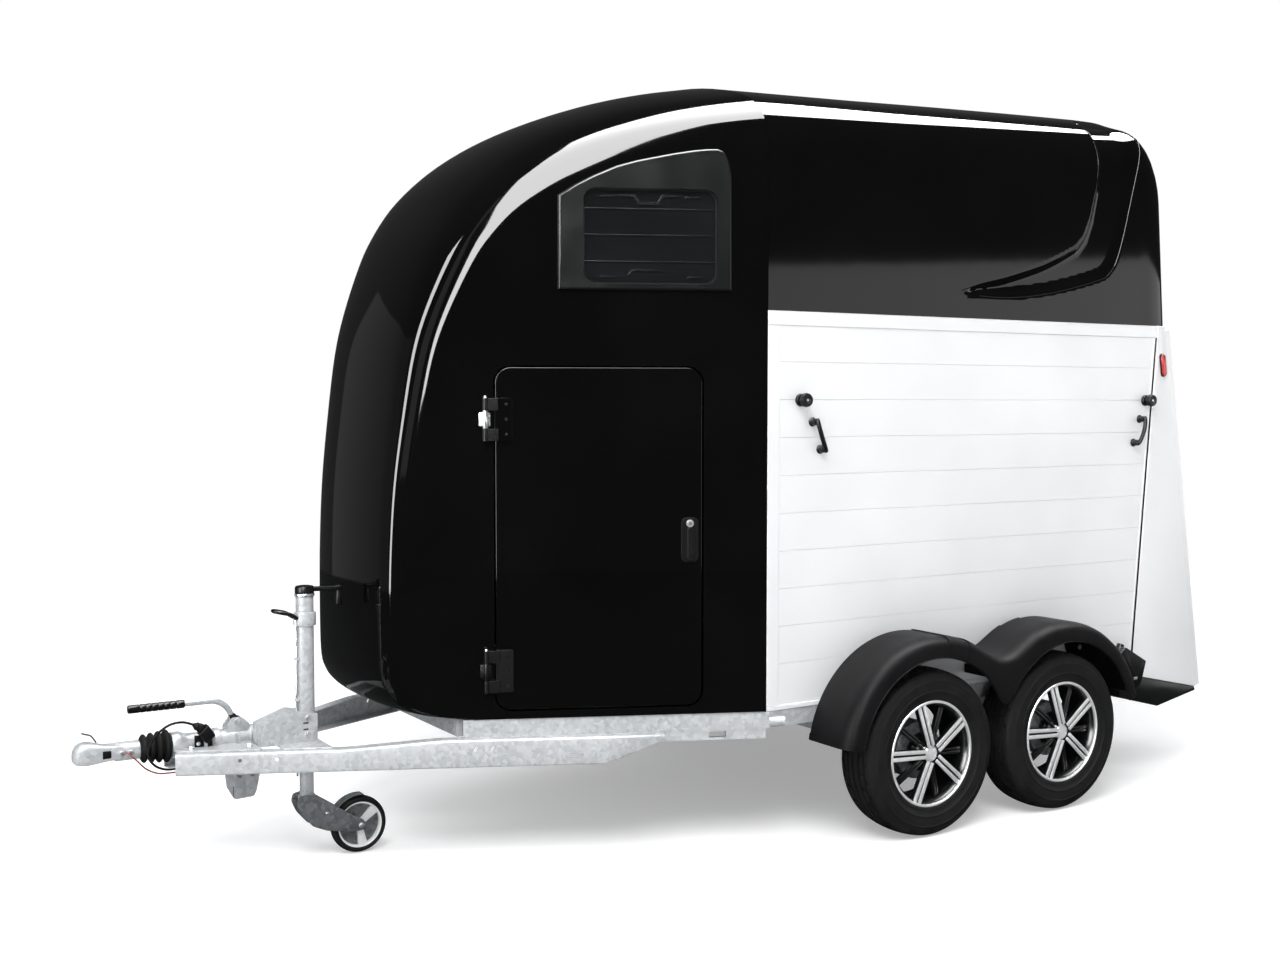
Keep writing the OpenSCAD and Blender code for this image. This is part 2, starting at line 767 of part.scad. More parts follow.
module coupling_head() color(galvanised) place() {
  head_x = tip_ahead - 38;
  difference() {
    union() {
      translate([head_x, 0, ball_z - 28]) cylinder(r = 38, h = 40);
      intersection() {
        translate([head_x, 0, ball_z + 6]) sphere(r = 38);
        translate([head_x - 60, -60, ball_z]) cube([120, 120, 60]);
      }
      translate([head_x - 100, -30, ball_z - 22]) cube([100, 60, 48]);
      along_x(head_x - 175, 0, ball_z, 31, 80);
      along_x(drawbar_front - 55, 0, ball_z, draw_r, head_x - 110 - drawbar_front);
    }
    translate([head_x, 0, ball_z - 30]) cylinder(r = socket_r, h = 33);
    translate([head_x, 0, ball_z + 3]) sphere(r = socket_r);
  }
  slab(-14, 28) polygon([
    [head_x - 62, ball_z + 24], [head_x - 96, ball_z + 24], [head_x - 100, ball_z + 76],
    [head_x - 178, ball_z + 96], [head_x - 184, ball_z + 104], [head_x - 178, ball_z + 110],
    [head_x - 66, ball_z + 84], [head_x - 46, ball_z + 66], [head_x - 50, ball_z + 58]
  ]);
}

module bellows() color(matt_black) place() {
  front = tip_ahead - 213.3;
  back = drawbar_front - 2;
  folds = 4;
  pitch = (front - back) / folds;
  translate([back, 0, ball_z]) rotate([0, 90, 0]) rotate_extrude() polygon(concat(
    [[draw_r + 0.5, 0]],
    [for (i = [0 : folds - 1], p = [[40, 0.06], [53, 0.32], [55, 0.5], [53, 0.68], [40, 0.94]])
      [p[0] - i * 2.5, (i + p[1]) * pitch]],
    [[draw_r + 0.5, folds * pitch]]
  ));
}

// Everything on the drawbars' front end is measured back from it.
module at_front() place() translate([drawbar_front, 0, 0]) children();

module overrun_housing() color(galvanised) at_front() {
  back = -290;
  top = frame_z - drawbar_step;
  difference() {
    union() {
      along_x(back, 0, ball_z, 34, -back - 4);
      along_x(-34, 0, ball_z, 44, 30);
      along_x(-165, 0, ball_z, 42, 20);
      along_x(back, 0, ball_z, 40, 24);
      translate([0, 0, top]) linear_extrude(6)
        polygon([[-5, -60], [-5, 60], [-265, 180], [-265, -180]]);
    }
    along_x(-155, 0, ball_z, draw_r + 0.4, 300);
  }
  for (y = [-9, 4]) translate([-255, y, 222]) cube([40, 5, 190]);
  slab(-6, 12) polygon([[-315, 330], [-185, 330], [-193, 260], [-219, 215], [-285, 222]]);
  for (y = [-24, 16]) slab(y, 8) polygon([
    [-269, 440], [-269, 478], [-241, brake_z + 14], [-209, brake_z + 14], [-187, 474],
    [-187, 440]
  ]);
  translate([brake_x, -24, brake_z]) rotate([-90, 0, 0]) cylinder(r = 7, h = 48);
}

// The rod ends just short of the brake plate's sloped rear edge.
rod_z = 300;
rod_r = 5;
brake_x = -225;

module brake_rod() color(galvanised) place() {
  rod_back = -axle_spacing + 110;
  along_x(rod_back, 0, rod_z, rod_r, drawbar_front - 308.8 - rod_back);
}

module handbrake_lever() color(matt_black) at_front() {
  bend = 76;
  difference() {
    union() {
      translate([brake_x, -10, brake_z]) rotate([-90, 0, 0]) cylinder(r = 17, h = 20);
      slab(-10, 20) translate([brake_x, brake_z])
        polygon([[-11, 0], [13, -8], [24, 22], [2, 26]]);
      translate([brake_x + 88, 0, brake_z]) rotate([90, 0, 0]) rotate([0, 0, 90])
        rotate_extrude(angle = 76) translate([bend, 0]) circle(9.5);
    }
    translate([brake_x, -12, brake_z]) rotate([-90, 0, 0]) cylinder(r = 7.4, h = 24);
  }
  along_x(brake_x + 84, 0, brake_z + bend, 10.5, 94);
  along_x(brake_x + 174, 0, brake_z + bend, 14, 184);
}

module plug_holder() color(matt_black) at_front() {
  translate([-105, 36.5, 0]) {
    translate([-30, 0, frame_z - drawbar_step + 6 + seat]) cube([60, 5, 40]);
    slab(0, 36) polygon([[-34, 461], [-2, 436], [22, 470], [-8, 500]]);
    translate([22, 18, 494]) rotate([0, 60, 0]) cylinder(r = 15, h = 34, center = true);
  }
}

// A round cable of diameter d swept along its points.
module cable(route, d) {
  n = len(route);
  sides = 8;
  function along(i) =
    let (a = route[max(i - 1, 0)], b = route[min(i + 1, n - 1)]) (b - a) / norm(b - a);
  function ring(i) =
    let (
      t = along(i),
      u = cross(t, [0, 1, 0]) / norm(cross(t, [0, 1, 0])),
      v = cross(t, u)
    )
    [for (k = [0 : sides - 1])
      route[i] + (u * cos(360 * k / sides) + v * sin(360 * k / sides)) * d / 2];
  polyhedron(
    points = [for (i = [0 : n - 1]) each ring(i)],
    faces = concat(
      [[for (k = [0 : sides - 1]) k]],
      [[for (k = [sides - 1 : -1 : 0]) (n - 1) * sides + k]],
      [for (i = [0 : n - 2], k = [0 : sides - 1])
        let (m = (k + 1) % sides)
        [i * sides + k, (i + 1) * sides + k, i * sides + m]],
      [for (i = [0 : n - 2], k = [0 : sides - 1])
        let (m = (k + 1) % sides)
        [i * sides + m, (i + 1) * sides + k, (i + 1) * sides + m]]
    )
  );
}

// Points between a route's corners, on quarter-step curves.
function smooth_route(p, steps) = [
  for (i = [0 : len(p) - 2], k = [0 : steps - 1])
    let (
      t = k / steps,
      a = p[max(i - 1, 0)], b = p[i], c = p[i + 1], d = p[min(i + 2, len(p) - 1)]
    )
    0.5 * (2 * b + (c - a) * t + (2 * a - 5 * b + 4 * c - d) * t * t
      + (3 * b - a - 3 * c + d) * t * t * t),
  p[len(p) - 1]
];

light_route = [
  [-68, 54.5, 503], [-30, 58, 516], [15, 64, 512], [57, 70, 486], [83, 74, 448],
  [85, 76, 414], [63, 76, 384], [27, 66, 366], [-13, 58, 362], [-55, 62, 362]
];
breakaway_route = [
  [151, 32.7, 434], [141, 46, 428], [121, 62, 408], [93, 74, 378], [55, 72, 358],
  [15, 62, 352], [-35, 62, 351]
];

module light_cable() color(matt_black) at_front() cable(smooth_route(light_route, 4), 8);

module breakaway_cable() color([0.5, 0.1, 0.08]) at_front()
  cable(smooth_route(breakaway_route, 4), 5);

// Jockey wheel

module jockey_clamp() color(galvanised) place() {
  top = frame_z - drawbar_step;
  difference() {
    translate([jockey_ahead, 0, top]) linear_extrude(6)
      polygon([[-40, -280], [110, -212], [110, 212], [-40, 280]]);
    translate([jockey_ahead, jockey_y, top - 1]) cylinder(r = jockey_r + seat, h = 8);
  }
  difference() {
    slab(jockey_y - 58, 92) polygon([
      [jockey_ahead - 30, top + 5], [jockey_ahead - 30, 515], [jockey_ahead + 60, 530],
      [jockey_ahead + 168, 492], [jockey_ahead + 168, top + 5]
    ]);
    slab(jockey_y - 53, 82) polygon([
      [jockey_ahead + 44, top + 6], [jockey_ahead + 44, 521], [jockey_ahead + 60, 524],
      [jockey_ahead + 162, 488], [jockey_ahead + 162, top + 6]
    ]);
    translate([jockey_ahead, jockey_y, 300]) cylinder(r = jockey_r + seat, h = 400);
  }
}

module jockey_tube() color(galvanised) place() {
  translate([jockey_ahead, jockey_y, 0]) {
    difference() {
      union() {
        translate([0, 0, 330]) cylinder(r = jockey_r, h = 600);
        translate([0, 0, 818]) cylinder(r = jockey_r + 8, h = 46);
      }
      translate([0, 0, 329]) cylinder(r = 25, h = 560);
    }
    difference() {
      translate([50, 0, 862]) rotate([0, 8, 0]) {
        translate([-40, -30, 0]) cube([56, 60, 18]);
        translate([16, 0, 0]) cylinder(r = 30, h = 18);
      }
      translate([60, 0, 840]) cylinder(r = 19, h = 60);
      translate([0, 0, 700]) cylinder(r = jockey_r - 2, h = 400);
    }
    translate([0, 0, 922]) cylinder(r = jockey_r + 3, h = 34);
    translate([-132, -12, 932]) cube([160, 24, 16]);
    translate([-122, 0, 880]) cylinder(r = 13, h = 58);
  }
}

module jockey_post() color(galvanised) place()
  translate([jockey_ahead, jockey_y, 0]) {
    translate([0, 0, 222]) cylinder(r = 24, h = 400);
    translate([0, 0, 214.3]) cylinder(r = 30, h = 14);
  }

module jockey_fork() color(galvanised) place()
  translate([jockey_ahead, jockey_y, 0]) {
    for (y = [-34, 30]) slab(y, 4) polygon([
      [38, 236], [-30, 224], [-jockey_trail - 18, 112], [-jockey_trail - 12, 84],
      [-jockey_trail + 20, 82], [-20, 106], [44, 200]
    ]);
    translate([-32, -34, 208]) cube([70, 68, 6]);
    translate([-jockey_trail, -34, jockey_wheel_d / 2]) rotate([-90, 0, 0])
      cylinder(r = 8, h = 68);
  }

module jockey_tyre() color(matt_black) place() {
  r = jockey_wheel_d / 2;
  translate([jockey_ahead - jockey_trail, jockey_y, r]) rotate([90, 0, 0]) {
    rotate_extrude() polygon([
      [r - 22, -18], [r - 10, -24], [r - 3, -16], [r, 0], [r - 3, 16], [r - 10, 24],
      [r - 22, 18]
    ]);
    difference() {
      translate([0, 0, -20]) cylinder(r = r - 18, h = 40);
      for (z = [-21, 8]) translate([0, 0, z]) cylinder(r = r - 26, h = 13);
      translate([0, 0, -30]) cylinder(r = 8.5, h = 60);
      for (i = [0 : 5]) rotate([0, 0, 60 * i]) translate([47, 0, -30])
        cylinder(r = 15, h = 60);
    }
    difference() {
      translate([0, 0, -25]) cylinder(r = 17, h = 50);
      translate([0, 0, -30]) cylinder(r = 8.5, h = 60);
    }
  }
}

// Ramp and rear end

ramp_long = (wall_top_z - ramp_foot_z) / cos(ramp_lean);
ramp_half = half_w - 4;

// Ramp frame: x is forward through the slab, z up along it, from the lower edge.
module on_ramp() {
  translate([-tail_behind, 0, ramp_foot_z]) rotate([0, ramp_lean, 0]) children();
}

hinge_cuts = [-600, 0, 600];

module ramp() color(plank_silver) place() on_ramp() {
  difference() {
    translate([0, -ramp_half, 0]) cube([ramp_thick, 2 * ramp_half, ramp_long - 12]);
    for (y = hinge_cuts) translate([-5, y - 45, -5]) cube([50, 90, 34]);
    translate([-5, -ramp_half - 1, 8]) cube([9, 40, ramp_long]);
    for (z = [ramp_long - 12 - plank_high : -plank_high : 60])
      translate([-3, -ramp_half + 60, z]) cube([4.5, 2 * ramp_half - 120, plank_joint]);
  }
  for (y = [-1, 1]) translate([0, y * (ramp_half - 36), 0.55 * ramp_long]) {
    translate([-5, -22, -70]) cube([10, 44, 140]);
    translate([-30, 0, 30]) rotate([0, 90, 0]) cylinder(r = 13, h = 28);
    translate([-34, -9, -60]) cube([12, 18, 96]);
  }
  for (y = [-300, 300]) translate([12, y, 0]) rotate([90, 0, 0])
    cylinder(r = 9, h = 420, center = true);
  for (y = [-1, 1]) translate([ramp_thick + 0, y * 690 - 20, 60]) cube([6, 40, ramp_long - 160]);
}

module rear_bumper() color(matt_black) place() {
  slab(-half_w + 6, body_width - 12) polygon([
    [-1230, 352], [-1230, frame_z - seat], [-1308, frame_z - seat],
    [ramp_inner_x(350), 350 - seat], [ramp_inner_x(350) - 6, 332], [-1470, 288]
  ]);
  // Holder with the stowed wheel chock behind each fender.
  both_sides() {
    slab(half_w - 12, 60) polygon([[-1272, 396], [-1236, 396], [-1236, 430], [-1272, 430]]);
    slab(half_w + 1, 70) polygon([
      [-1240, 398], [-1270, 420], [-1298, 510], [-1172, 578], [-1142, 556], [-1172, 470]
    ]);
    translate([-1160, half_w + 36, 540]) rotate([0, -25, 0]) cylinder(r = 15, h = 50);
  }
  on_ramp() for (y = hinge_cuts) {
    translate([12, y, 0]) rotate([90, 0, 0]) cylinder(r = 9, h = 74, center = true);
    translate([4, y - 37, -16]) cube([46, 74, 16]);
  }
}

module rear_blind() color(matt_black) place() {
  wide = body_width - 180;
  translate([seat - blind_back, -wide / 2, wall_top_z - 60]) cube([8, wide, 610]);
}

module tail_lamps() color([0.8, 0.05, 0.04]) place() both_sides() {
  translate([-1452, half_w + 0.3, 1739]) rotate([0, ramp_lean, 0]) scale([1, 1, 1])
    slab(0, 14) union() {
      translate([-14, -34]) square([30, 68]);
      translate([1, 34]) circle(15);
      translate([1, -34]) circle(15);
    }
}

// Handles, bars and partition

bar_z = 1591;
bar_x = [467, -1350];
panel_y = half_w - frame_proud + seat;

module grab_handle(x, turn) {
  translate([x, panel_y, 1465]) rotate([0, turn, 0]) {
    for (z = [-52, 52]) translate([0, 0, z]) rotate([-90, 0, 0]) cylinder(r = 13, h = 34);
    translate([0, 34, -58]) cylinder(r = 9, h = 116);
  }
}

module grab_fittings() color(matt_black) place() both_sides() {
  for (x = bar_x) {
    translate([x, panel_y, bar_z]) rotate([-90, 0, 0]) {
      cylinder(r = 22, h = 12);
      cylinder(r = 14, h = 26);
      translate([0, 0, 24]) cylinder(r = 24, h = 20);
    }
  }
  grab_handle(395, 20);
  grab_handle(-1300, -20);
}

module partition() color([0.2, 0.2, 0.2]) place() {
  stand = base_z + seat + floor_thick + seat;
  translate([-1240, -22, 760]) cube([1660, 44, 800]);
  translate([bar_x[1] - 25, -25, bar_z - 25]) cube([bar_x[0] - bar_x[1] + 50, 50, 50]);
  for (x = [-1270, 430]) translate([x, -25, stand]) cube([50, 50, bar_z - stand]);
  both_sides() for (x = bar_x) translate([x, 24, bar_z]) rotate([-90, 0, 0])
    cylinder(r = 22, h = half_w - wall_thick - 24 - seat);
}

drawbar_left();
drawbar_right();
chassis_frame();
front_axle();
rear_axle();
floor_board();
overrun_housing();
brake_rod();
bellows();
coupling_head();
handbrake_lever();
plug_holder();
light_cable();
breakaway_cable();
jockey_clamp();
jockey_tube();
jockey_post();
jockey_fork();
jockey_tyre();
tyre_front_left();
tyre_front_right();
tyre_rear_left();
tyre_rear_right();
rim_front_left();
rim_front_right();
rim_rear_left();
rim_rear_right();
fender_left();
fender_right();
wall_left();
wall_right();
rear_post_left();
rear_post_right();
front_hood();
roof_hood();
door_left();
door_right();
window_frames();
window_panes();
ramp();
rear_bumper();
tail_lamps();
grab_fittings();
partition();
rear_blind();
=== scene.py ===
import math

import bmesh
import bpy
from mathutils import Matrix, Vector
from mathutils.bvhtree import BVHTree


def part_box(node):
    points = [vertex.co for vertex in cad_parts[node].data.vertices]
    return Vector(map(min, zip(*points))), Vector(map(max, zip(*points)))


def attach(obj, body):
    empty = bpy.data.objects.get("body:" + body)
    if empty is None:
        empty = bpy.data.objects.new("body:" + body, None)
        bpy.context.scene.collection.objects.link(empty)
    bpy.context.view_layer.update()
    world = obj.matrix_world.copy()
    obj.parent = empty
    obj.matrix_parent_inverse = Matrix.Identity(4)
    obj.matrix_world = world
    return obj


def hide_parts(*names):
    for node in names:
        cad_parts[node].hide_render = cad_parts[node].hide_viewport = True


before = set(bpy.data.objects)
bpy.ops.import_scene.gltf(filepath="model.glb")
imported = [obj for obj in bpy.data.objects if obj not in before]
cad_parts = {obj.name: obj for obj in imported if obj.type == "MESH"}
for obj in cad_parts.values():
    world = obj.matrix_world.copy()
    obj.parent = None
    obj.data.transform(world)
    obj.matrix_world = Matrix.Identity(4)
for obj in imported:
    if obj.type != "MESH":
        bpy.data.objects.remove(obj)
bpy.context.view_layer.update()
scene = bpy.context.scene

# Places are in metres. Along X they are counted from the front axle, as on a drawing of the
# trailer, and addPiece moves each finished piece to its place in the frame.
tyreLow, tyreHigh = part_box("tyre_front_left")
axleX = (tyreLow.x + tyreHigh.x) / 2
hubZ = (tyreLow.z + tyreHigh.z) / 2
wheelY = (tyreLow.y + tyreHigh.y) / 2
tyreRadius = (tyreHigh.z - tyreLow.z) / 2
tyreHalf = (tyreHigh.y - tyreLow.y) / 2
wallLow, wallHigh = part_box("wall_left")
halfWidth = wallHigh.y
wallTop = wallHigh.z
wallFoot = wallLow.z
seamX = wallHigh.x - axleX + 0.001
axleGap = axleX - (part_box("tyre_rear_left")[0].x + tyreRadius)
sides = (("left", 1), ("right", -1))
print("frame loaded")


# Shapes

def hexColour(code):
    parts = [int(code[i:i + 2], 16) / 255 for i in (1, 3, 5)]
    return [p / 12.92 if p <= 0.04045 else ((p + 0.055) / 1.055) ** 2.4 for p in parts] + [1.0]


def join(bm, part, finish=0, matrix=None):  # adds one shape to a piece, with its finish
    if matrix is not None:
        bmesh.ops.transform(part, matrix=matrix, verts=part.verts)
    for face in part.faces:
        if finish is not None:
            face.material_index = finish
    mesh = bpy.data.meshes.new("part")
    part.to_mesh(mesh)
    part.free()
    bm.from_mesh(mesh)
    bpy.data.meshes.remove(mesh)


def softened(bm, width, segments=2, angle=30):  # rounds every edge sharper than angle
    edges = [e for e in bm.edges if e.is_manifold and e.calc_face_angle() > math.radians(angle)]
    if width > 0 and edges:
        bmesh.ops.bevel(bm, geom=edges, offset=width, segments=segments, profile=0.5,
                        affect="EDGES", clamp_overlap=True, material=-1)
    return bm


def block(low, high, edge=0.002, segments=2):
    low, high = Vector(low), Vector(high)
    bm = bmesh.new()
    bmesh.ops.create_cube(bm, size=1)
    bmesh.ops.scale(bm, vec=high - low, verts=bm.verts)
    bmesh.ops.translate(bm, vec=(low + high) / 2, verts=bm.verts)
    return softened(bm, edge, segments)


def rod(start, end, radius, endRadius=None, steps=32, edge=0.0, caps=True):
    start, end = Vector(start), Vector(end)
    bm = bmesh.new()
    bmesh.ops.create_cone(bm, cap_ends=caps, segments=steps, radius1=radius,
                          radius2=radius if endRadius is None else endRadius,
                          depth=(end - start).length)
    softened(bm, edge, 2, 60)
    turn = (end - start).to_track_quat("Z", "Y").to_matrix().to_4x4()
    bmesh.ops.transform(bm, matrix=Matrix.Translation((start + end) / 2) @ turn, verts=bm.verts)
    return bm


def outlined(outline, corner=0.0, segments=5):  # a flat face standing in the XZ plane
    bm = bmesh.new()
    bm.faces.new([bm.verts.new((x, 0, z)) for x, z in outline])
    if corner > 0:
        bmesh.ops.bevel(bm, geom=bm.verts[:], offset=corner, segments=segments, profile=0.5,
                        affect="VERTICES", clamp_overlap=True, material=-1)
    return bm


def plate(outline, near, far, corner=0.0, edge=0.001, segments=2, cornerSteps=5):
    bm = outlined(outline, corner, cornerSteps)
    bmesh.ops.translate(bm, vec=(0, near, 0), verts=bm.verts)
    grown = bmesh.ops.extrude_face_region(bm, geom=bm.faces[:], use_keep_orig=True)
    moved = [v for v in grown["geom"] if isinstance(v, bmesh.types.BMVert)]
    bmesh.ops.translate(bm, vec=(0, far - near, 0), verts=moved)
    bmesh.ops.recalc_face_normals(bm, faces=bm.faces)
    return softened(bm, edge, segments)


def turned(profile, steps=64, closed=True, angle=2 * math.pi):  # profile of (radius, height)
    bm = bmesh.new()
    points = [bm.verts.new((r, 0, h)) for r, h in profile]
    edges = [bm.edges.new(pair) for pair in zip(points, points[1:])]
    if closed:
        edges.append(bm.edges.new((points[-1], points[0])))
    bmesh.ops.spin(bm, geom=points + edges, cent=(0, 0, 0), axis=(0, 0, 1), angle=angle,
                   steps=steps, use_merge=angle > 6.28, use_duplicate=False)
    bmesh.ops.remove_doubles(bm, verts=bm.verts, dist=1e-6)
    bmesh.ops.recalc_face_normals(bm, faces=bm.faces)
    return bm


def swept(section, path, closedEnds=True):  # section of (side, up) drawn along the path's points
    path = [Vector(p) for p in path]
    bm = bmesh.new()
    frames = []
    up = Vector((0, 0, 1)) if abs((path[1] - path[0]).normalized().z) < 0.9 else Vector((1, 0, 0))
    for i, point in enumerate(path):
        along = (path[min(i + 1, len(path) - 1)] - path[max(i - 1, 0)]).normalized()
        side = along.cross(up).normalized()
        up = side.cross(along).normalized()
        frames.append(Matrix((side, along, up)).transposed().to_4x4())
        frames[-1].translation = point
    ring = [bm.verts.new(frames[0] @ Vector((a, 0, b))) for a, b in section]
    edges = [bm.edges.new((ring[i - 1], ring[i])) for i in range(len(ring))]
    if closedEnds:
        bm.faces.new(ring)
    for before, after in zip(frames, frames[1:]):
        grown = bmesh.ops.extrude_edge_only(bm, edges=edges)["geom"]
        edges = [g for g in grown if isinstance(g, bmesh.types.BMEdge)]
        moved = [g for g in grown if isinstance(g, bmesh.types.BMVert)]
        bmesh.ops.transform(bm, matrix=after @ before.inverted(), verts=moved)
    if closedEnds:
        bmesh.ops.contextual_create(bm, geom=edges)
    bmesh.ops.recalc_face_normals(bm, faces=bm.faces)
    return bm


def circle(radius, steps=16):
    return [(radius * math.cos(2 * math.pi * i / steps), radius * math.sin(2 * math.pi * i / steps))
            for i in range(steps)]


def smoothPath(points, steps=8):  # a smooth curve through the points
    points = [Vector(p) for p in points]
    path = []
    for i in range(len(points) - 1):
        a, b = points[max(i - 1, 0)], points[i]
        c, d = points[i + 1], points[min(i + 2, len(points) - 1)]
        for k in range(steps):
            t = k / steps
            path.append(0.5 * (2 * b + (c - a) * t + (2 * a - 5 * b + 4 * c - d) * t * t
                               + (3 * b - a - 3 * c + d) * t ** 3))
    return path + [points[-1]]


def quadratic(a, b, c, t):
    return a * (1 - t) ** 2 + b * (2 * t * (1 - t)) + c * t * t


def mirrorToRight(bm):
    bmesh.ops.scale(bm, vec=(1, -1, 1), verts=bm.verts)
    bmesh.ops.reverse_faces(bm, faces=bm.faces)
    return bm


def paired(make):  # one piece with the same shape on the left and on the right
    bm = make()
    join(bm, mirrorToRight(make()), None)
    return bm


def addPiece(name, bm, finishes, body="chassis", stands=(), angle=35, weighted=False):
    bmesh.ops.translate(bm, vec=(axleX, 0, 0), verts=bm.verts)
    mesh = bpy.data.meshes.new(name)
    bm.to_mesh(mesh)
    bm.free()
    piece = bpy.data.objects.new(name, mesh)
    scene.collection.objects.link(piece)
    for finish in finishes:
        mesh.materials.append(finish)
    mesh.shade_smooth()
    mesh.set_sharp_from_angle(angle=math.radians(angle))
    if weighted:
        modifier = piece.modifiers.new("WeightedNormal", "WEIGHTED_NORMAL")
        modifier.keep_sharp = True
    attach(piece, body)
    if stands:
        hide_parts(*stands)
    return piece


# Finishes

def newFinish(name):
    finish = bpy.data.materials.new(name)
    finish.use_nodes = True
    tree = finish.node_tree
    shader = tree.nodes["Principled BSDF"]
    return finish, tree, shader


def addNode(tree, kind, settings=None, **links):  # links: socket name to value or (node, socket)
    node = tree.nodes.new(kind)
    for key, value in (settings or {}).items():
        setattr(node, key, value)
    for key, value in links.items():
        name = key.replace("_", " ")
        socket = node.inputs[int(key[1:])] if key[0] == "i" and key[1:].isdigit() else node.inputs[name]
        if isinstance(value, tuple) and isinstance(value[0], bpy.types.Node):
            tree.links.new(value[0].outputs[value[1]], socket)
        else:
            socket.default_value = value
    return node


def connect(tree, node, output, shader, socket):
    tree.links.new(node.outputs[output], shader.inputs[socket])


def grade(tree, source, output, stops):  # a colour ramp over a pattern
    ramp = addNode(tree, "ShaderNodeValToRGB", Fac=(source, output))
    while len(ramp.color_ramp.elements) < len(stops):
        ramp.color_ramp.elements.new(0.5)
    for element, (place, colour) in zip(ramp.color_ramp.elements, stops):
        element.position = place
        element.color = hexColour(colour) if isinstance(colour, str) else [colour] * 3 + [1]
    return ramp


def perMetre(millimetres):  # pattern scale of a feature of that size
    return 1000 / millimetres


def bumpFrom(tree, source, output, shader, strength, distance):
    bump = addNode(tree, "ShaderNodeBump", Strength=strength, Distance=distance,
                   Height=(source, output))
    connect(tree, bump, "Normal", shader, "Normal")
    return bump


def polishedGelcoat():  # black gelcoat from a polished mould: deep black with sharp reflections
    finish, tree, shader = newFinish("polishedGelcoat")
    place = addNode(tree, "ShaderNodeTexCoord")
    haze = addNode(tree, "ShaderNodeTexNoise", Vector=(place, "Object"), Scale=perMetre(420), Detail=4.0)
    tone = grade(tree, haze, "Fac", [(0.35, "#050505"), (0.7, "#080809")])
    connect(tree, tone, "Color", shader, "Base Color")
    wave = addNode(tree, "ShaderNodeTexNoise", Vector=(place, "Object"), Scale=perMetre(160), Detail=1.0)
    bumpFrom(tree, wave, "Fac", shader, 0.04, 0.002)  # the long wave of a hand laid shell
    shader.inputs["Roughness"].default_value = 0.045
    shader.inputs["Specular IOR Level"].default_value = 0.3
    return finish


def gelcoatInside():  # rolled topcoat on the inner face of the shell: pale, dull and uneven
    finish, tree, shader = newFinish("rolledTopcoat")
    place = addNode(tree, "ShaderNodeTexCoord")
    flecks = addNode(tree, "ShaderNodeTexNoise", Vector=(place, "Object"), Scale=perMetre(9), Detail=3.0)
    tone = grade(tree, flecks, "Fac", [(0.3, "#9a9b9c"), (0.7, "#b6b7b7")])
    connect(tree, tone, "Color", shader, "Base Color")
    bumpFrom(tree, flecks, "Fac", shader, 0.3, 0.001)
    shader.inputs["Roughness"].default_value = 0.6
    return finish


def anodisedPlank():  # extruded and anodised aluminium: nearly white, satin, drawn lines along X
    finish, tree, shader = newFinish("anodisedAluminium")
    place = addNode(tree, "ShaderNodeTexCoord")
    drawn = addNode(tree, "ShaderNodeMapping", Vector=(place, "Object"), Scale=(1.5, 30.0, 900.0))
    lines = addNode(tree, "ShaderNodeTexNoise", Vector=(drawn, "Vector"), Scale=1.0, Detail=2.0)
    cloud = addNode(tree, "ShaderNodeTexNoise", Vector=(place, "Object"), Scale=perMetre(600), Detail=2.0)
    tone = grade(tree, cloud, "Fac", [(0.3, "#dfe0e1"), (0.7, "#eaebeb")])
    connect(tree, tone, "Color", shader, "Base Color")
    rough = grade(tree, lines, "Fac", [(0.3, 0.42), (0.7, 0.52)])
    connect(tree, rough, "Color", shader, "Roughness")
    bumpFrom(tree, lines, "Fac", shader, 0.05, 0.0005)
    shader.inputs["Metallic"].default_value = 0.25
    return finish


def dippedGalvanising(name="hotDipGalvanising", low="#999c9e", high="#bdbfc1", metal=0.14):
    # hot dip zinc on steel: spangles of slightly different grey, soft shine, dull patches
    finish, tree, shader = newFinish(name)
    place = addNode(tree, "ShaderNodeTexCoord")
    warp = addNode(tree, "ShaderNodeTexNoise", Vector=(place, "Object"), Scale=perMetre(40), Detail=2.0)
    mixed = addNode(tree, "ShaderNodeVectorMath", {"operation": "MULTIPLY_ADD"}, i0=(warp, "Color"),
                    i1=(0.012, 0.012, 0.012), i2=(place, "Object"))
    spangle = addNode(tree, "ShaderNodeTexVoronoi", Vector=(mixed, "Vector"), Scale=perMetre(14))
    patch = addNode(tree, "ShaderNodeTexNoise", Vector=(place, "Object"), Scale=perMetre(220), Detail=5.0)
    blend = addNode(tree, "ShaderNodeMix", {"data_type": "FLOAT"}, Factor=0.45)
    tree.links.new(spangle.outputs["Color"], blend.inputs[2])
    tree.links.new(patch.outputs["Fac"], blend.inputs[3])
    tone = grade(tree, blend, "Result", [(0.2, low), (0.75, high)])
    connect(tree, tone, "Color", shader, "Base Color")
    rough = grade(tree, blend, "Result", [(0.2, 0.5), (0.8, 0.34)])
    connect(tree, rough, "Color", shader, "Roughness")
    bumpFrom(tree, blend, "Result", shader, 0.08, 0.0006)
    shader.inputs["Metallic"].default_value = metal
    shader.inputs["Specular IOR Level"].default_value = 0.25
    return finish


def zincPlated():  # electroplated zinc: brighter and smoother than dipped steel
    finish, tree, shader = newFinish("zincPlating")
    place = addNode(tree, "ShaderNodeTexCoord")
    cloud = addNode(tree, "ShaderNodeTexNoise", Vector=(place, "Object"), Scale=perMetre(60), Detail=4.0)
    tone = grade(tree, cloud, "Fac", [(0.3, "#c3c6c9"), (0.7, "#e0e2e3")])
    connect(tree, tone, "Color", shader, "Base Color")
    rough = grade(tree, cloud, "Fac", [(0.3, 0.36), (0.7, 0.24)])
    connect(tree, rough, "Color", shader, "Roughness")
    shader.inputs["Metallic"].default_value = 0.9
    return finish


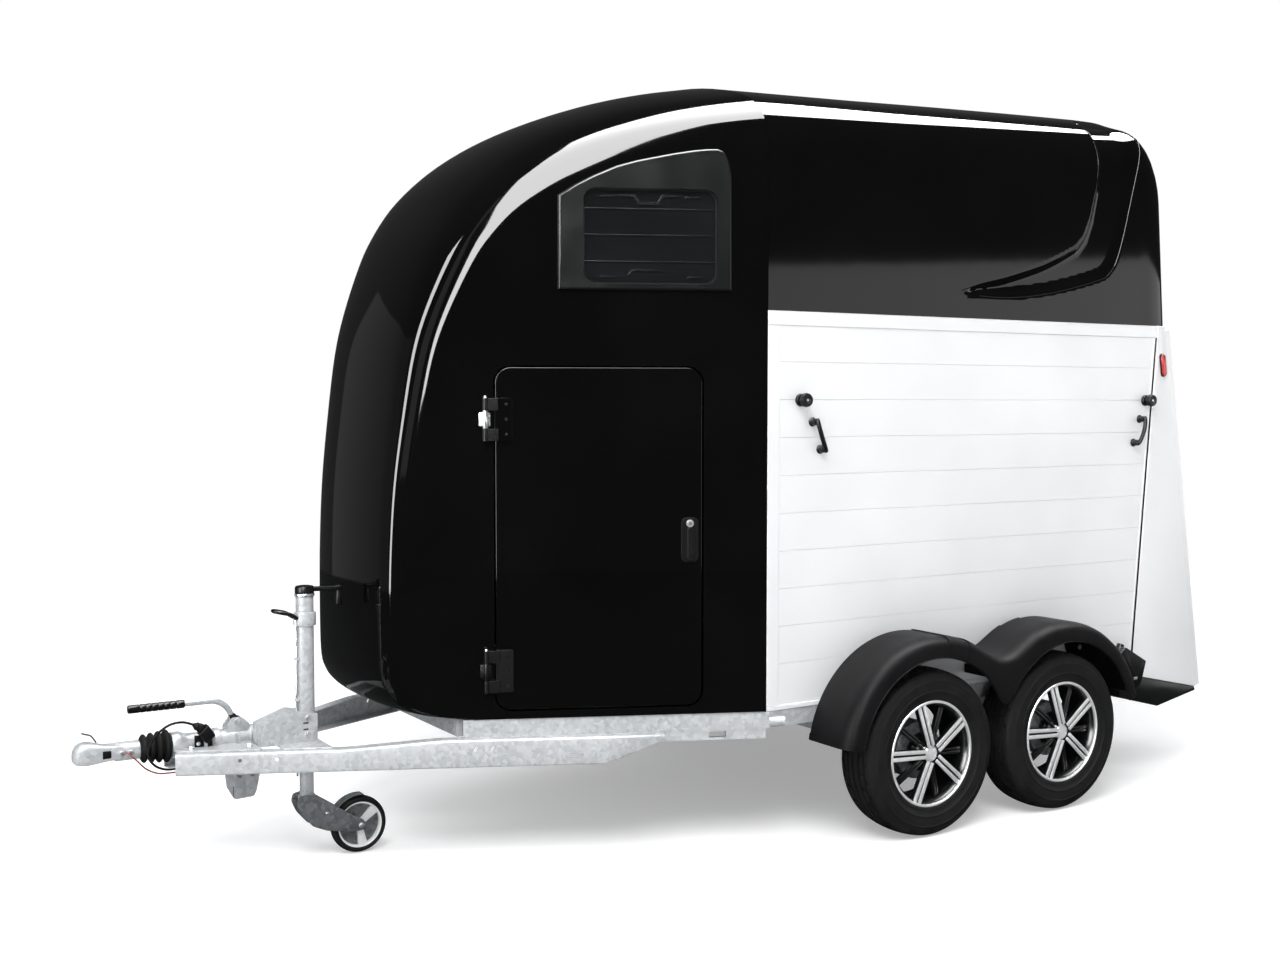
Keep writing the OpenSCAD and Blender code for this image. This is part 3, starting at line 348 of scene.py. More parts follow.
def mouldedPlastic(name, low, high, roughness, grain=1.2, bump=0.25, mirror=0.3):
    # injection moulded or vacuum formed black plastic: matt, with a fine leather grain
    finish, tree, shader = newFinish(name)
    place = addNode(tree, "ShaderNodeTexCoord")
    cells = addNode(tree, "ShaderNodeTexVoronoi", Vector=(place, "Object"), Scale=perMetre(grain))
    cloud = addNode(tree, "ShaderNodeTexNoise", Vector=(place, "Object"), Scale=perMetre(130), Detail=4.0)
    tone = grade(tree, cloud, "Fac", [(0.3, low), (0.7, high)])
    connect(tree, tone, "Color", shader, "Base Color")
    bumpFrom(tree, cells, "Distance", shader, bump, 0.0003)
    rough = grade(tree, cloud, "Fac", [(0.3, roughness + 0.06), (0.7, roughness - 0.04)])
    connect(tree, rough, "Color", shader, "Roughness")
    shader.inputs["Specular IOR Level"].default_value = mirror
    return finish


def curedRubber(name="curedRubber", low="#101010", high="#1a1a1a"):  # matt, slightly dusty rubber
    finish, tree, shader = newFinish(name)
    place = addNode(tree, "ShaderNodeTexCoord")
    dust = addNode(tree, "ShaderNodeTexNoise", Vector=(place, "Object"), Scale=perMetre(45), Detail=6.0)
    grit = addNode(tree, "ShaderNodeTexNoise", Vector=(place, "Object"), Scale=perMetre(1.5), Detail=2.0)
    tone = grade(tree, dust, "Fac", [(0.35, low), (0.75, high)])
    connect(tree, tone, "Color", shader, "Base Color")
    bumpFrom(tree, grit, "Fac", shader, 0.2, 0.0004)
    rough = grade(tree, dust, "Fac", [(0.3, 0.62), (0.7, 0.78)])
    connect(tree, rough, "Color", shader, "Roughness")
    shader.inputs["Specular IOR Level"].default_value = 0.08
    return finish


def turnedAlloy():  # lathe turned face of a cast alloy wheel: bright, with fine rings
    finish, tree, shader = newFinish("turnedAlloy")
    place = addNode(tree, "ShaderNodeTexCoord")
    grain = addNode(tree, "ShaderNodeTexNoise", Vector=(place, "Object"), Scale=perMetre(2), Detail=2.0)
    tone = grade(tree, grain, "Fac", [(0.3, "#c9cacb"), (0.7, "#e6e7e7")])
    connect(tree, tone, "Color", shader, "Base Color")
    rough = grade(tree, grain, "Fac", [(0.3, 0.44), (0.7, 0.36)])
    connect(tree, rough, "Color", shader, "Roughness")
    shader.inputs["Metallic"].default_value = 0.5
    return finish


def wheelLacquer():  # black lacquer in the wheel's pockets: smooth, dark and glossy
    finish, tree, shader = newFinish("blackWheelLacquer")
    place = addNode(tree, "ShaderNodeTexCoord")
    cloud = addNode(tree, "ShaderNodeTexNoise", Vector=(place, "Object"), Scale=perMetre(50), Detail=3.0)
    tone = grade(tree, cloud, "Fac", [(0.3, "#0b0b0c"), (0.7, "#131314")])
    connect(tree, tone, "Color", shader, "Base Color")
    shader.inputs["Roughness"].default_value = 0.24
    return finish


def tintedAcrylic():  # smoked acrylic pane: dark, smooth and nearly opaque from outside
    finish, tree, shader = newFinish("smokedAcrylic")
    place = addNode(tree, "ShaderNodeTexCoord")
    cloud = addNode(tree, "ShaderNodeTexNoise", Vector=(place, "Object"), Scale=perMetre(300), Detail=1.0)
    tone = grade(tree, cloud, "Fac", [(0.3, "#101112"), (0.7, "#17181a")])
    connect(tree, tone, "Color", shader, "Base Color")
    shader.inputs["Roughness"].default_value = 0.12
    shader.inputs["IOR"].default_value = 1.49
    shader.inputs["Specular IOR Level"].default_value = 0.35
    shader.inputs["Transmission Weight"].default_value = 0.04
    return finish


def lampLens(name, low, high):  # injection moulded acrylic lens with a prism pattern inside
    finish, tree, shader = newFinish(name)
    place = addNode(tree, "ShaderNodeTexCoord")
    prisms = addNode(tree, "ShaderNodeTexVoronoi", {"distance": "CHEBYCHEV"},
                     Vector=(place, "Object"), Scale=perMetre(6))
    tone = grade(tree, prisms, "Distance", [(0.1, high), (0.6, low)])
    connect(tree, tone, "Color", shader, "Base Color")
    shader.inputs["Roughness"].default_value = 0.15
    shader.inputs["Coat Weight"].default_value = 0.6
    shader.inputs["Coat Roughness"].default_value = 0.05
    return finish


def wovenCloth(name, low, high, thread=3.0):  # coated plain weave, drawn coarser than the real 0.8 mm
    finish, tree, shader = newFinish(name)
    place = addNode(tree, "ShaderNodeTexCoord")
    warp = addNode(tree, "ShaderNodeTexWave", {"bands_direction": "Y"}, Vector=(place, "Object"),
                   Scale=perMetre(thread) / 6.283, Distortion=0.4)
    weft = addNode(tree, "ShaderNodeTexWave", {"bands_direction": "Z"}, Vector=(place, "Object"),
                   Scale=perMetre(thread) / 6.283, Distortion=0.4)
    weave = addNode(tree, "ShaderNodeMath", {"operation": "MULTIPLY"}, i0=(warp, "Fac"), i1=(weft, "Fac"))
    tone = grade(tree, weave, "Value", [(0.0, low), (1.0, high)])
    connect(tree, tone, "Color", shader, "Base Color")
    bumpFrom(tree, weave, "Value", shader, 0.4, 0.0006)
    shader.inputs["Roughness"].default_value = 0.8
    shader.inputs["Sheen Weight"].default_value = 0.15
    return finish


def paddedVinyl():  # soft vinyl over foam: dark, low sheen, fine creases
    finish, tree, shader = newFinish("foamVinyl")
    place = addNode(tree, "ShaderNodeTexCoord")
    creases = addNode(tree, "ShaderNodeTexVoronoi", {"feature": "DISTANCE_TO_EDGE"},
                      Vector=(place, "Object"), Scale=perMetre(5))
    cloud = addNode(tree, "ShaderNodeTexNoise", Vector=(place, "Object"), Scale=perMetre(180), Detail=4.0)
    tone = grade(tree, cloud, "Fac", [(0.3, "#1f2021"), (0.7, "#2b2c2d")])
    connect(tree, tone, "Color", shader, "Base Color")
    bumpFrom(tree, creases, "Distance", shader, 0.3, 0.0008)
    shader.inputs["Roughness"].default_value = 0.55
    return finish


def floorRubber():  # granulated rubber sheet glued on the floor: black with grey flecks
    finish, tree, shader = newFinish("granulatedRubber")
    place = addNode(tree, "ShaderNodeTexCoord")
    grains = addNode(tree, "ShaderNodeTexVoronoi", Vector=(place, "Object"), Scale=perMetre(4))
    tone = grade(tree, grains, "Color", [(0.0, "#161616"), (0.85, "#242424"), (1.0, "#6d6f70")])
    connect(tree, tone, "Color", shader, "Base Color")
    bumpFrom(tree, grains, "Distance", shader, 0.5, 0.001)
    shader.inputs["Roughness"].default_value = 0.85
    return finish


gelcoat = polishedGelcoat()
topcoat = gelcoatInside()
plankMetal = anodisedPlank()
zinc = dippedGalvanising()
darkZinc = dippedGalvanising("dullGalvanising", "#55585a", "#85888a", 0.6)
plated = zincPlated()
fenderPlastic = mouldedPlastic("vacuumFormedPlastic", "#0d0d0e", "#141415", 0.46, 1.5, 0.3, 0.05)
framePlastic = mouldedPlastic("mouldedFramePlastic", "#0e0f0f", "#141515", 0.2, 1.2, 0.04, 0.4)
handlePlastic = mouldedPlastic("glassFilledNylon", "#09090a", "#111112", 0.3, 0.8, 0.1, 0.2)
bellowsRubber = curedRubber("extrudedRubber", "#0b0b0b", "#151515")
tyreRubber = curedRubber()
bright = turnedAlloy()
lacquer = wheelLacquer()
pane = tintedAcrylic()
redLens = lampLens("redLensAcrylic", "#8e0d0b", "#e02a22")
blindCloth = wovenCloth("coatedBlindCloth", "#161718", "#26282a")
vinyl = paddedVinyl()
matRubber = floorRubber()
castZinc = dippedGalvanising("zincOnCasting", "#96999b", "#b6b8ba", 0.14)
redSheath = mouldedPlastic("redCableSheath", "#4c100d", "#741a14", 0.42, 0.8, 0.05)
paleRim = mouldedPlastic("paleRimNylon", "#c4c6c6", "#dcdddd", 0.42, 1.0, 0.1)
print("finishes made")


# Hood

hood = {
    "taper": math.radians(24),      # narrowing of the nose walls
    "thickness": 0.025,
    "arcSteps": 9,                  # across the rounding of the side edge
    "topSteps": 10,                 # from there to the middle
    "rowSteps": 4,                  # between two lines of the table
    "seamGap": 0.002,
    "beadOut": 0.0035,              # height of the bead along the nose corner
    # distance along the nose wall and height of the side edge, distance ahead of the axle and
    # height of the middle, radius, slope of the outward normal, in millimetres and degrees
    "noseLines": [
        [1060, 500, 1660, 500, 40, 0], [1165, 512, 1735, 510, 45, -35],
        [1242, 542, 1792, 540, 50, -40], [1286, 590, 1822, 590, 55, -30],
        [1306, 660, 1838, 664, 58, -10], [1308, 860, 1844, 870, 60, 0],
        [1304, 1070, 1840, 1090, 62, 3], [1290, 1300, 1826, 1326, 68, 6],
        [1260, 1535, 1798, 1562, 76, 9], [1225, 1752, 1764, 1778, 86, 15],
        [1180, 1905, 1722, 1932, 95, 22], [1104, 2082, 1652, 2112, 105, 32],
        [1040, 2190, 1592, 2226, 112, 40], [944, 2300, 1506, 2350, 122, 50],
        [822, 2390, 1396, 2458, 135, 60], [690, 2458, 1272, 2546, 148, 67],
        [540, 2514, 1128, 2620, 156, 73], [350, 2562, 945, 2690, 164, 79],
        [170, 2592, 775, 2738, 168, 84], [0, 2612, 613, 2770, 170, 90],
    ],
    # distance ahead of the axle, height of the edge and of the crown, radius, inset and lean
    "roofLines": [
        [613, 2612, 2770, 170, 0, 0], [100, 2632.4, 2790.4, 166, 0, 0],
        [-500, 2659.6, 2817.6, 158, 0, 0], [-1100, 2686.8, 2838, 148, 0, 0.03],
        [-1300, 2693.6, 2834.6, 140, 0, 0.05], [-1390, 2666.4, 2804, 138, 0, 0.06],
        [-1450, 2598.4, 2729.2, 134, 8, 0.075], [-1480, 2516.8, 2640.8, 128, 24, 0.078],
        [-1492, 2435.2, 2552.4, 120, 46, 0.08],
    ],
}
taperFrame = Matrix.Translation((seamX, halfWidth, 0)) @ Matrix.Rotation(-hood["taper"], 4, "Z")


def betweenRows(rows, steps):  # more rows on a smooth curve through those of the table
    made = []
    for i in range(len(rows) - 1):
        a, b = rows[max(i - 1, 0)], rows[i]
        c, d = rows[i + 1], rows[min(i + 2, len(rows) - 1)]
        for k in range(steps):
            t = k / steps
            made.append([0.5 * (2 * q + (r - p) * t + (2 * p - 5 * q + 4 * r - s) * t * t
                                + (3 * q - p - 3 * r + s) * t ** 3)
                         for p, q, r, s in zip(a, b, c, d)])
    return made + [rows[-1]]


def halfLine(corner, side, middle, radius, bead=0.0):
    pull = Vector((middle.x, middle.y + corner.y * 0.5, middle.z))
    across = (pull - corner).normalized()
    start, turn = corner + side * radius, corner + across * radius
    points = [quadratic(start, corner, turn, i / hood["arcSteps"]) for i in range(hood["arcSteps"] + 1)]
    if bead > 0:
        middleStep = hood["arcSteps"] // 2
        outward = (corner - (start + turn) / 2).normalized()
        for step in (middleStep, middleStep + 1):
            points[step] = points[step] + outward * bead
    return points + [quadratic(turn, pull, middle, i / hood["topSteps"])
                     for i in range(1, hood["topSteps"] + 1)]


def noseLine(row):
    t, z, ahead, crown, radius, lean = [v / 1000 for v in row]
    lean *= 1000
    slope = math.radians(lean)
    turn = hood["taper"]
    corner = Vector((seamX + t * math.cos(turn), halfWidth - t * math.sin(turn), z))
    side = Vector((-math.cos(slope) * math.cos(turn), math.cos(slope) * math.sin(turn), -math.sin(slope)))
    return halfLine(corner, side, Vector((ahead, 0, crown)), radius, hood["beadOut"])


def roofLine(row):
    x, edge, crown, radius, inset, lean = [v / 1000 for v in row]
    lean *= 1000
    raw = halfLine(Vector((x, halfWidth - inset, edge)), Vector((0, 0, -1)), Vector((x, 0, crown)), radius)
    return [Vector((p.x + lean * (p.z - wallTop), p.y, p.z)) for p in raw]


def across(half):  # the whole line, from the left side over the middle to the right
    return half + [Vector((p.x, -p.y, p.z)) for p in half[-2::-1]]


def bridged(bm, lines):  # skin over a run of lines
    loops = []
    for line in lines:
        verts = [bm.verts.new(p) for p in line]
        loops.append([bm.edges.new(pair) for pair in zip(verts, verts[1:])])
    for first, second in zip(loops, loops[1:]):
        bmesh.ops.bridge_loops(bm, edges=first + second)
    return loops


def cutOut(piece, cutters, angle=24, folded=False):  # cuts the openings for good
    for cutter in cutters:
        modifier = piece.modifiers.new("opening", "BOOLEAN")
        modifier.operation = "DIFFERENCE"
        modifier.solver = "EXACT"
        modifier.object = cutter
        modifier.use_self = folded
    bpy.context.view_layer.update()
    made = bpy.data.meshes.new_from_object(piece.evaluated_get(bpy.context.evaluated_depsgraph_get()))
    piece.modifiers.clear()
    piece.data = made
    made.shade_smooth()
    made.set_sharp_from_angle(angle=math.radians(angle))
    for cutter in cutters:
        bpy.data.objects.remove(cutter)
    return piece


def cutter(bm):
    mesh = bpy.data.meshes.new("cutter")
    bmesh.ops.translate(bm, vec=(axleX, 0, 0), verts=bm.verts)
    bm.to_mesh(mesh)
    bm.free()
    tool = bpy.data.objects.new("cutter", mesh)
    scene.collection.objects.link(tool)
    return tool


def rectangle(x, z, wide, high):
    return [(x, z), (x + wide, z), (x + wide, z + high), (x, z + high)]


def bothSides(make):  # the same shape on the left and on the right
    return [make(), mirrorToRight(make())]


door = {
    "from": 0.231, "wide": 0.713, "sill": 0.530, "high": 1.172, "corner": 0.052, "gap": 0.006,
    "thickness": 0.030, "hinges": (0.592, 1.452),
}
window = {
    "from": 0.131, "wide": 0.598, "sill": 1.966, "proud": 0.014,
    "paneX": 0.181, "paneZ": 1.986, "paneWide": 0.463, "paneHigh": 0.324, "paneCorner": 0.042,
    "top": [(0, 0), (0.598, 0), (0.598, 0.318), (0.54, 0.354), (0.48, 0.385), (0.398, 0.42),
            (0.33, 0.439), (0.264, 0.453), (0.2, 0.466), (0.134, 0.477), (0.085, 0.482),
            (0.05, 0.483), (0.028, 0.474), (0.014, 0.455), (0.004, 0.42), (0, 0.388)],
    "slats": (2.063, 2.153, 2.242),  # heights of the lines across the pane
}


def doorCutter():
    gap = door["gap"]
    hole = plate(rectangle(door["from"] - gap, door["sill"] - gap, door["wide"] + 2 * gap,
                           door["high"] + 2 * gap), -0.06, 0.06, door["corner"] + gap, 0, 2, 10)
    bmesh.ops.transform(hole, matrix=taperFrame, verts=hole.verts)
    return hole


def windowCutter():
    grow = 0.012
    hole = plate(rectangle(window["paneX"] - grow, window["paneZ"] - grow, window["paneWide"] + 2 * grow,
                           window["paneHigh"] + 2 * grow), -0.06, 0.06, window["paneCorner"] + grow, 0, 2, 8)
    bmesh.ops.transform(hole, matrix=taperFrame, verts=hole.verts)
    return hole


def makeFrontHood():
    bm = bmesh.new()
    lines = [across(noseLine(row)) for row in betweenRows(hood["noseLines"], hood["rowSteps"])]
    seam = seamX + hood["seamGap"] / 2
    lines[-1] = [Vector((seam, p.y, p.z)) for p in lines[-1]]
    bridged(bm, lines)
    for end, sign in ((0, 1), (-1, -1)):  # the flat nose walls, out to the seam and the floor
        edge = [line[end] for line in lines]
        foot = edge[0].copy()
        low = wallFoot + 0.0006
        outline = edge + [Vector((seam, edge[-1].y, low)), Vector((foot.x, foot.y, low))]
        bm.faces.new([bm.verts.new(p) for p in (outline if sign < 0 else outline[::-1])])
    bmesh.ops.remove_doubles(bm, verts=bm.verts, dist=0.0004)
    bmesh.ops.recalc_face_normals(bm, faces=bm.faces)
    outer = bm.faces[:]
    middle = max(outer, key=lambda f: f.calc_center_median().z)
    if middle.normal.z < 0:
        bmesh.ops.reverse_faces(bm, faces=bm.faces)
    piece = addPiece("front_hood_shell", bm, [gelcoat, topcoat],
                     stands=["front_hood"], angle=24)
    wall = piece.modifiers.new("thickness", "SOLIDIFY")
    wall.thickness = hood["thickness"]
    wall.offset = -1
    wall.use_even_offset = True
    wall.material_offset = 1
    cutOut(piece, [cutter(c) for c in bothSides(doorCutter) + bothSides(windowCutter)])
    weights = piece.modifiers.new("WeightedNormal", "WEIGHTED_NORMAL")
    weights.keep_sharp = True
    return piece


# The air scoop at the rear of the roof's side: a channel between a front and a rear crease.
scoop = {
    "depth": 0.016, "frontEdge": 0.026, "rearEdge": 0.034, "bead": 0.0016,
    "frontCrease": [(-0.30, 2.006), (-0.40, 2.036), (-0.52, 2.062), (-0.62, 2.088), (-0.72, 2.117),
                    (-0.777, 2.137), (-0.843, 2.164), (-0.926, 2.203), (-0.968, 2.246),
                    (-1.001, 2.319), (-1.032, 2.438), (-1.042, 2.533), (-1.037, 2.626),
                    (-1.033, 2.72), (-1.03, 2.80)],
    "rearCrease": [(-1.36, 2.80), (-1.33, 2.72), (-1.295, 2.61), (-1.258, 2.48), (-1.222, 2.351),
                   (-1.199, 2.272), (-1.169, 2.187), (-1.144, 2.138), (-1.115, 2.107),
                   (-1.084, 2.087), (-1.015, 2.067), (-0.896, 2.038), (-0.763, 2.012),
                   (-0.617, 1.993), (-0.49, 1.987), (-0.38, 1.99)],
    "step": 0.011,  # mesh spacing over the scoop
}


def nearest(point, line):  # distance from a point to a broken line, both flat
    best = 9.0
    for (ax, az), (bx, bz) in zip(line, line[1:]):
        dx, dz = bx - ax, bz - az
        t = max(0.0, min(1.0, ((point[0] - ax) * dx + (point[1] - az) * dz) / (dx * dx + dz * dz)))
        best = min(best, math.hypot(point[0] - ax - t * dx, point[1] - az - t * dz))
    return best


def inside(point, outline):
    hit = False
    for (ax, az), (bx, bz) in zip(outline, outline[1:] + outline[:1]):
        if (az > point[1]) != (bz > point[1]) and point[0] < ax + (point[1] - az) * (bx - ax) / (bz - az):
            hit = not hit
    return hit


def smoothStep(value):
    value = max(0.0, min(1.0, value))
    return value * value * (3 - 2 * value)


def scoopDepth(x, z):
    if x > -0.25 or not inside((x, z), scoop["frontCrease"] + scoop["rearCrease"]):
        return 0.0
    front = smoothStep(nearest((x, z), scoop["frontCrease"]) / scoop["frontEdge"])
    rear = smoothStep(nearest((x, z), scoop["rearCrease"]) / (scoop["rearEdge"] + 0.25 * max(0.0, z - 2.35)))
    return scoop["depth"] * min(front, rear)


def makeRoofHood():
    bm = bmesh.new()
    rows = betweenRows(hood["roofLines"], 24)
    stations = [seamX - hood["seamGap"] / 2]
    stations += [-0.02 - 0.03 * i for i in range(8)]
    stations += [-0.26 - scoop["step"] * i for i in range(1, 93)]
    lines = []

    def rowAt(x):  # row of the table at a distance from the axle
        for first, second in zip(rows, rows[1:]):
            if first[0] / 1000 >= x >= second[0] / 1000:
                t = (first[0] / 1000 - x) / (first[0] / 1000 - second[0] / 1000)
                return [a + (b - a) * t for a, b in zip(first, second)]
        return rows[0]

    ahead = [rowAt(x) for x in stations if x > -1.28]
    rear = [row for row in rows if row[0] <= -1284]
    for row in ahead + rear:
        line = roofLine(row)
        start = line[0]
        low = wallTop + 0.0006
        lean = row[5]
        count = 56
        sidePoints = []
        for i in range(count):
            z = low + (start.z - low) * i / count
            sidePoints.append(Vector((start.x + lean * (z - start.z), start.y, z)))
        line = sidePoints + line
        moved = []
        for p in line:
            depth = scoopDepth(p.x, p.z) if p.y > halfWidth - 0.14 else 0.0
            moved.append(Vector((p.x, p.y - depth, p.z - depth * smoothStep((p.z - 2.55) / 0.12))))
        lines.append(across(moved))
    lines[0] = [Vector((seamX - hood["seamGap"] / 2, p.y, p.z)) for p in lines[0]]
    bridged(bm, lines)
    back = [p for p in lines[-1]]
    bm.faces.new([bm.verts.new(p) for p in back])
    skin = BVHTree.FromBMesh(bm)
    creases = []
    for line in (scoop["frontCrease"], scoop["rearCrease"]):
        hits = [skin.ray_cast(Vector((p.x, 2, p.z)), Vector((0, -1, 0)))[0]
                for p in smoothPath([Vector((x, 0, z)) for x, z in line], 6)]
        creases.append(smoothPath([p for p in hits if p and p.z < 2.74][::3], 4))
    bmesh.ops.remove_doubles(bm, verts=bm.verts, dist=0.0004)
    bmesh.ops.recalc_face_normals(bm, faces=bm.faces)
    top = max(bm.faces[:], key=lambda f: f.calc_center_median().z)
    if top.normal.z < 0:
        bmesh.ops.reverse_faces(bm, faces=bm.faces)
    piece = addPiece("roof_hood_shell", bm, [gelcoat, topcoat],
                     stands=["roof_hood"], angle=24)
    wall = piece.modifiers.new("thickness", "SOLIDIFY")
    wall.thickness = hood["thickness"]
    wall.offset = -1
    wall.use_even_offset = False
    wall.material_offset = 1
    wide = 2 * halfWidth - 0.26
    opening = block((-1.74, -wide / 2, wallTop - 0.04), (-1.30, wide / 2, wallTop + 0.52), 0)
    cutOut(piece, [cutter(opening)], 50)
    weights = piece.modifiers.new("WeightedNormal", "WEIGHTED_NORMAL")
    weights.keep_sharp = True
    lips = bmesh.new()
    for line in creases:  # the rolled lip of each crease
        join(lips, swept(circle(scoop["bead"], 8), line), 0)
    join(lips, mirrorToRight(lips.copy()), None)
    addPiece("scoop_lips", lips, [gelcoat])
    return piece


makeFrontHood()
makeRoofHood()
print("hood made")


# Doors and windows in the nose walls

def doorLeaf():
    bm = bmesh.new()
    leaf = plate(rectangle(door["from"], door["sill"], door["wide"], door["high"]), -door["thickness"],
                 0, door["corner"], 0.003, 3, 10)
    join(bm, leaf, 0)
    right = door["from"] + door["wide"]
    # handle: a bright lock cylinder over a long black lever in a shallow dish
    x = door["from"] + 0.043
    join(bm, plate(rectangle(x - 0.030, 1.030, 0.060, 0.155), 0.0002, 0.004, 0.018, 0.0015), 1)
    join(bm, plate(rectangle(x - 0.010, 1.040, 0.020, 0.112), 0.004, 0.019, 0.008, 0.003), 1)
    join(bm, rod((x, 0.002, 1.165), (x, 0.012, 1.165), 0.0135, 0.0125, 32, 0.001), 2)
    join(bm, rod((x, 0.011, 1.165), (x, 0.0135, 1.165), 0.006, 0.006, 24, 0.0005), 3)
    for low in door["hinges"]:
        join(bm, plate(rectangle(right - 0.058, low, 0.060, 0.146), 0.0002, 0.0095, 0.006, 0.0012),
             1 if low < 1 else 0)
        for up in (0.0, 0.103):
            join(bm, rod((right + 0.034, 0.020, low + up), (right + 0.034, 0.020, low + up + 0.042), 0.009,
                         0.009, 24, 0.001), 1)
            join(bm, block((right - 0.010, 0.005, low + up), (right + 0.034, 0.019, low + up + 0.042),
                           0.0015), 1)
        for up in (0.022, 0.073, 0.124):
            join(bm, rod((right - 0.038, 0.009, low + up), (right - 0.038, 0.0125, low + up), 0.006, 0.0045, 16,
                         0.0006), 1)
    # inner liner
    join(bm, plate(rectangle(door["from"] + 0.05, door["sill"] + 0.06, door["wide"] - 0.1, door["high"] - 0.12),
                   -door["thickness"] - 0.004, -door["thickness"] + 0.001, 0.04, 0.002), 4)
    bmesh.ops.transform(bm, matrix=taperFrame, verts=bm.verts)
    return bm


for side, sign in sides:
    leaf = doorLeaf()
    if sign < 0:
        mirrorToRight(leaf)
    addPiece("door_" + side + "_leaf", leaf, [gelcoat, handlePlastic, plated, darkZinc, topcoat],
             "door_" + side, ["door_" + side], weighted=True)


def hingeLeaves():  # the hinge halves on the hood, beside each door
    bm = bmesh.new()
    right = door["from"] + door["wide"]
    for low in door["hinges"]:
        dark = low < 1
        join(bm, plate(rectangle(right + 0.017, low + 0.050, 0.038, 0.046), 0.0002, 0.0117, 0.003, 0.0012),
             0 if dark else 1)
        join(bm, block((right + 0.027, 0.005, low + 0.050), (right + 0.041, 0.019, low + 0.096), 0.001),
             0 if dark else 1)
        join(bm, rod((right + 0.034, 0.020, low + 0.0423), (right + 0.034, 0.020, low + 0.1027), 0.009, 0.009,
                     24, 0.0008), 0 if dark else 1)
        join(bm, rod((right + 0.034, 0.020, low + 0.1455), (right + 0.034, 0.020, low + 0.153), 0.006, 0.005,
                     20, 0.001), 1)
    bmesh.ops.transform(bm, matrix=taperFrame, verts=bm.verts)
    return bm


for side, sign in sides:
    leaves = hingeLeaves()
    if sign < 0:
        mirrorToRight(leaves)
    addPiece("hood_hinges_" + side, leaves, [handlePlastic, plated])


def windowFrame():
    bm = bmesh.new()
    spread = [(window["from"] + x, window["sill"] + z) for x, z in window["top"]]
    outer = outlined(spread)
    bmesh.ops.translate(outer, vec=(0, 0.0004, 0), verts=outer.verts)
    grown = bmesh.ops.extrude_face_region(outer, geom=outer.faces[:], use_keep_orig=True)
    lifted = [v for v in grown["geom"] if isinstance(v, bmesh.types.BMVert)]
    bmesh.ops.translate(outer, vec=(0, window["proud"], 0), verts=lifted)
    bmesh.ops.recalc_face_normals(outer, faces=outer.faces)
    rim = [e for e in outer.edges if all(v.co.y > window["proud"] / 2 for v in e.verts)]
    bmesh.ops.bevel(outer, geom=rim, offset=0.0085, segments=4, profile=0.5, affect="EDGES",
                    clamp_overlap=True, material=-1)
    join(bm, outer, 0)
    bmesh.ops.transform(bm, matrix=taperFrame, verts=bm.verts)
    return bm


def paneOpening(grow, near=-0.06, far=0.06):
    hole = plate(rectangle(window["paneX"] - grow, window["paneZ"] - grow, window["paneWide"] + 2 * grow,
                           window["paneHigh"] + 2 * grow), near, far, window["paneCorner"] + grow, 0, 2, 8)
    bmesh.ops.transform(hole, matrix=taperFrame, verts=hole.verts)
    return hole


def glazing():
    bm = bmesh.new()
    x, z, wide, high = window["paneX"], window["paneZ"], window["paneWide"], window["paneHigh"]
    sheet = plate(rectangle(x + 0.002, z + 0.002, wide - 0.004, high - 0.004), -0.012, -0.005,
                  window["paneCorner"], 0.0015, 2, 8)
    join(bm, sheet, 0)
    for height in window["slats"]:  # pressed bars across the pane
        join(bm, block((x + 0.006, -0.006, height - 0.003), (x + wide - 0.006, -0.002, height + 0.003), 0.0015), 1)
    # catch: a wing shaped grip under the top edge, an arch over the lower one, four small stays
    middle = x + wide / 2 + 0.005
    wing = [(-0.10, 0.036), (-0.045, 0.036), (-0.030, 0.012), (0.030, 0.012), (0.045, 0.036), (0.10, 0.036),
            (0.10, 0.028), (0.052, 0.026), (0.036, 0.000), (-0.036, 0.000), (-0.052, 0.026), (-0.10, 0.028)]
    join(bm, plate([(middle + a, z + high - 0.055 + b) for a, b in wing], -0.006, 0.0, 0, 0.0012), 1)
    arch = [(-0.075, 0.0), (-0.060, 0.018), (-0.050, 0.022), (0.050, 0.022), (0.060, 0.018), (0.075, 0.0),
            (0.069, -0.002), (0.054, 0.014), (-0.054, 0.014), (-0.069, -0.002)]
    join(bm, plate([(middle + a, z + 0.030 + b) for a, b in arch], -0.006, -0.001, 0, 0.001), 1)
    for a, b in ((0.06, high - 0.030), (wide - 0.11, high - 0.030), (0.05, 0.022), (wide - 0.11, 0.022)):
        join(bm, block((x + a, -0.006, z + b), (x + a + 0.05, 0.0, z + b + 0.007), 0.001), 1)
    ring = plate(rectangle(x + 0.0005, z + 0.0005, wide - 0.001, high - 0.001), -0.011, -0.0015,
                 window["paneCorner"], 0, 2, 8)
    top = [f for f in ring.faces if abs(f.normal.y) > 0.9]
    bmesh.ops.inset_region(ring, faces=top, thickness=0.005, depth=0)
    caps = [f for f in ring.faces if abs(f.normal.y) > 0.9 and len(f.verts) > 8]
    bmesh.ops.delete(ring, geom=caps, context="FACES")
    join(bm, ring, 2)
    bmesh.ops.transform(bm, matrix=taperFrame, verts=bm.verts)
    return bm


for side, sign in sides:
    shapes = [windowFrame(), glazing()]
    holes = [paneOpening(-0.0005)]
    if sign < 0:
        for shape in shapes + holes:
            mirrorToRight(shape)
    stands = ["window_frames", "window_panes"] if sign > 0 else []
    surround = addPiece("window_frame_" + side, shapes[0], [framePlastic],
                        stands=stands[:1])
    cutOut(surround, [cutter(holes[0])])
    surround.modifiers.new("WeightedNormal", "WEIGHTED_NORMAL").keep_sharp = True
    addPiece("window_pane_" + side, shapes[1], [pane, framePlastic, curedRubber("windowSeal", "#1a1b1b", "#2a2b2b")],
             stands=stands[1:], weighted=True)
print("doors and windows made")


# Plank walls, rear posts and ramp

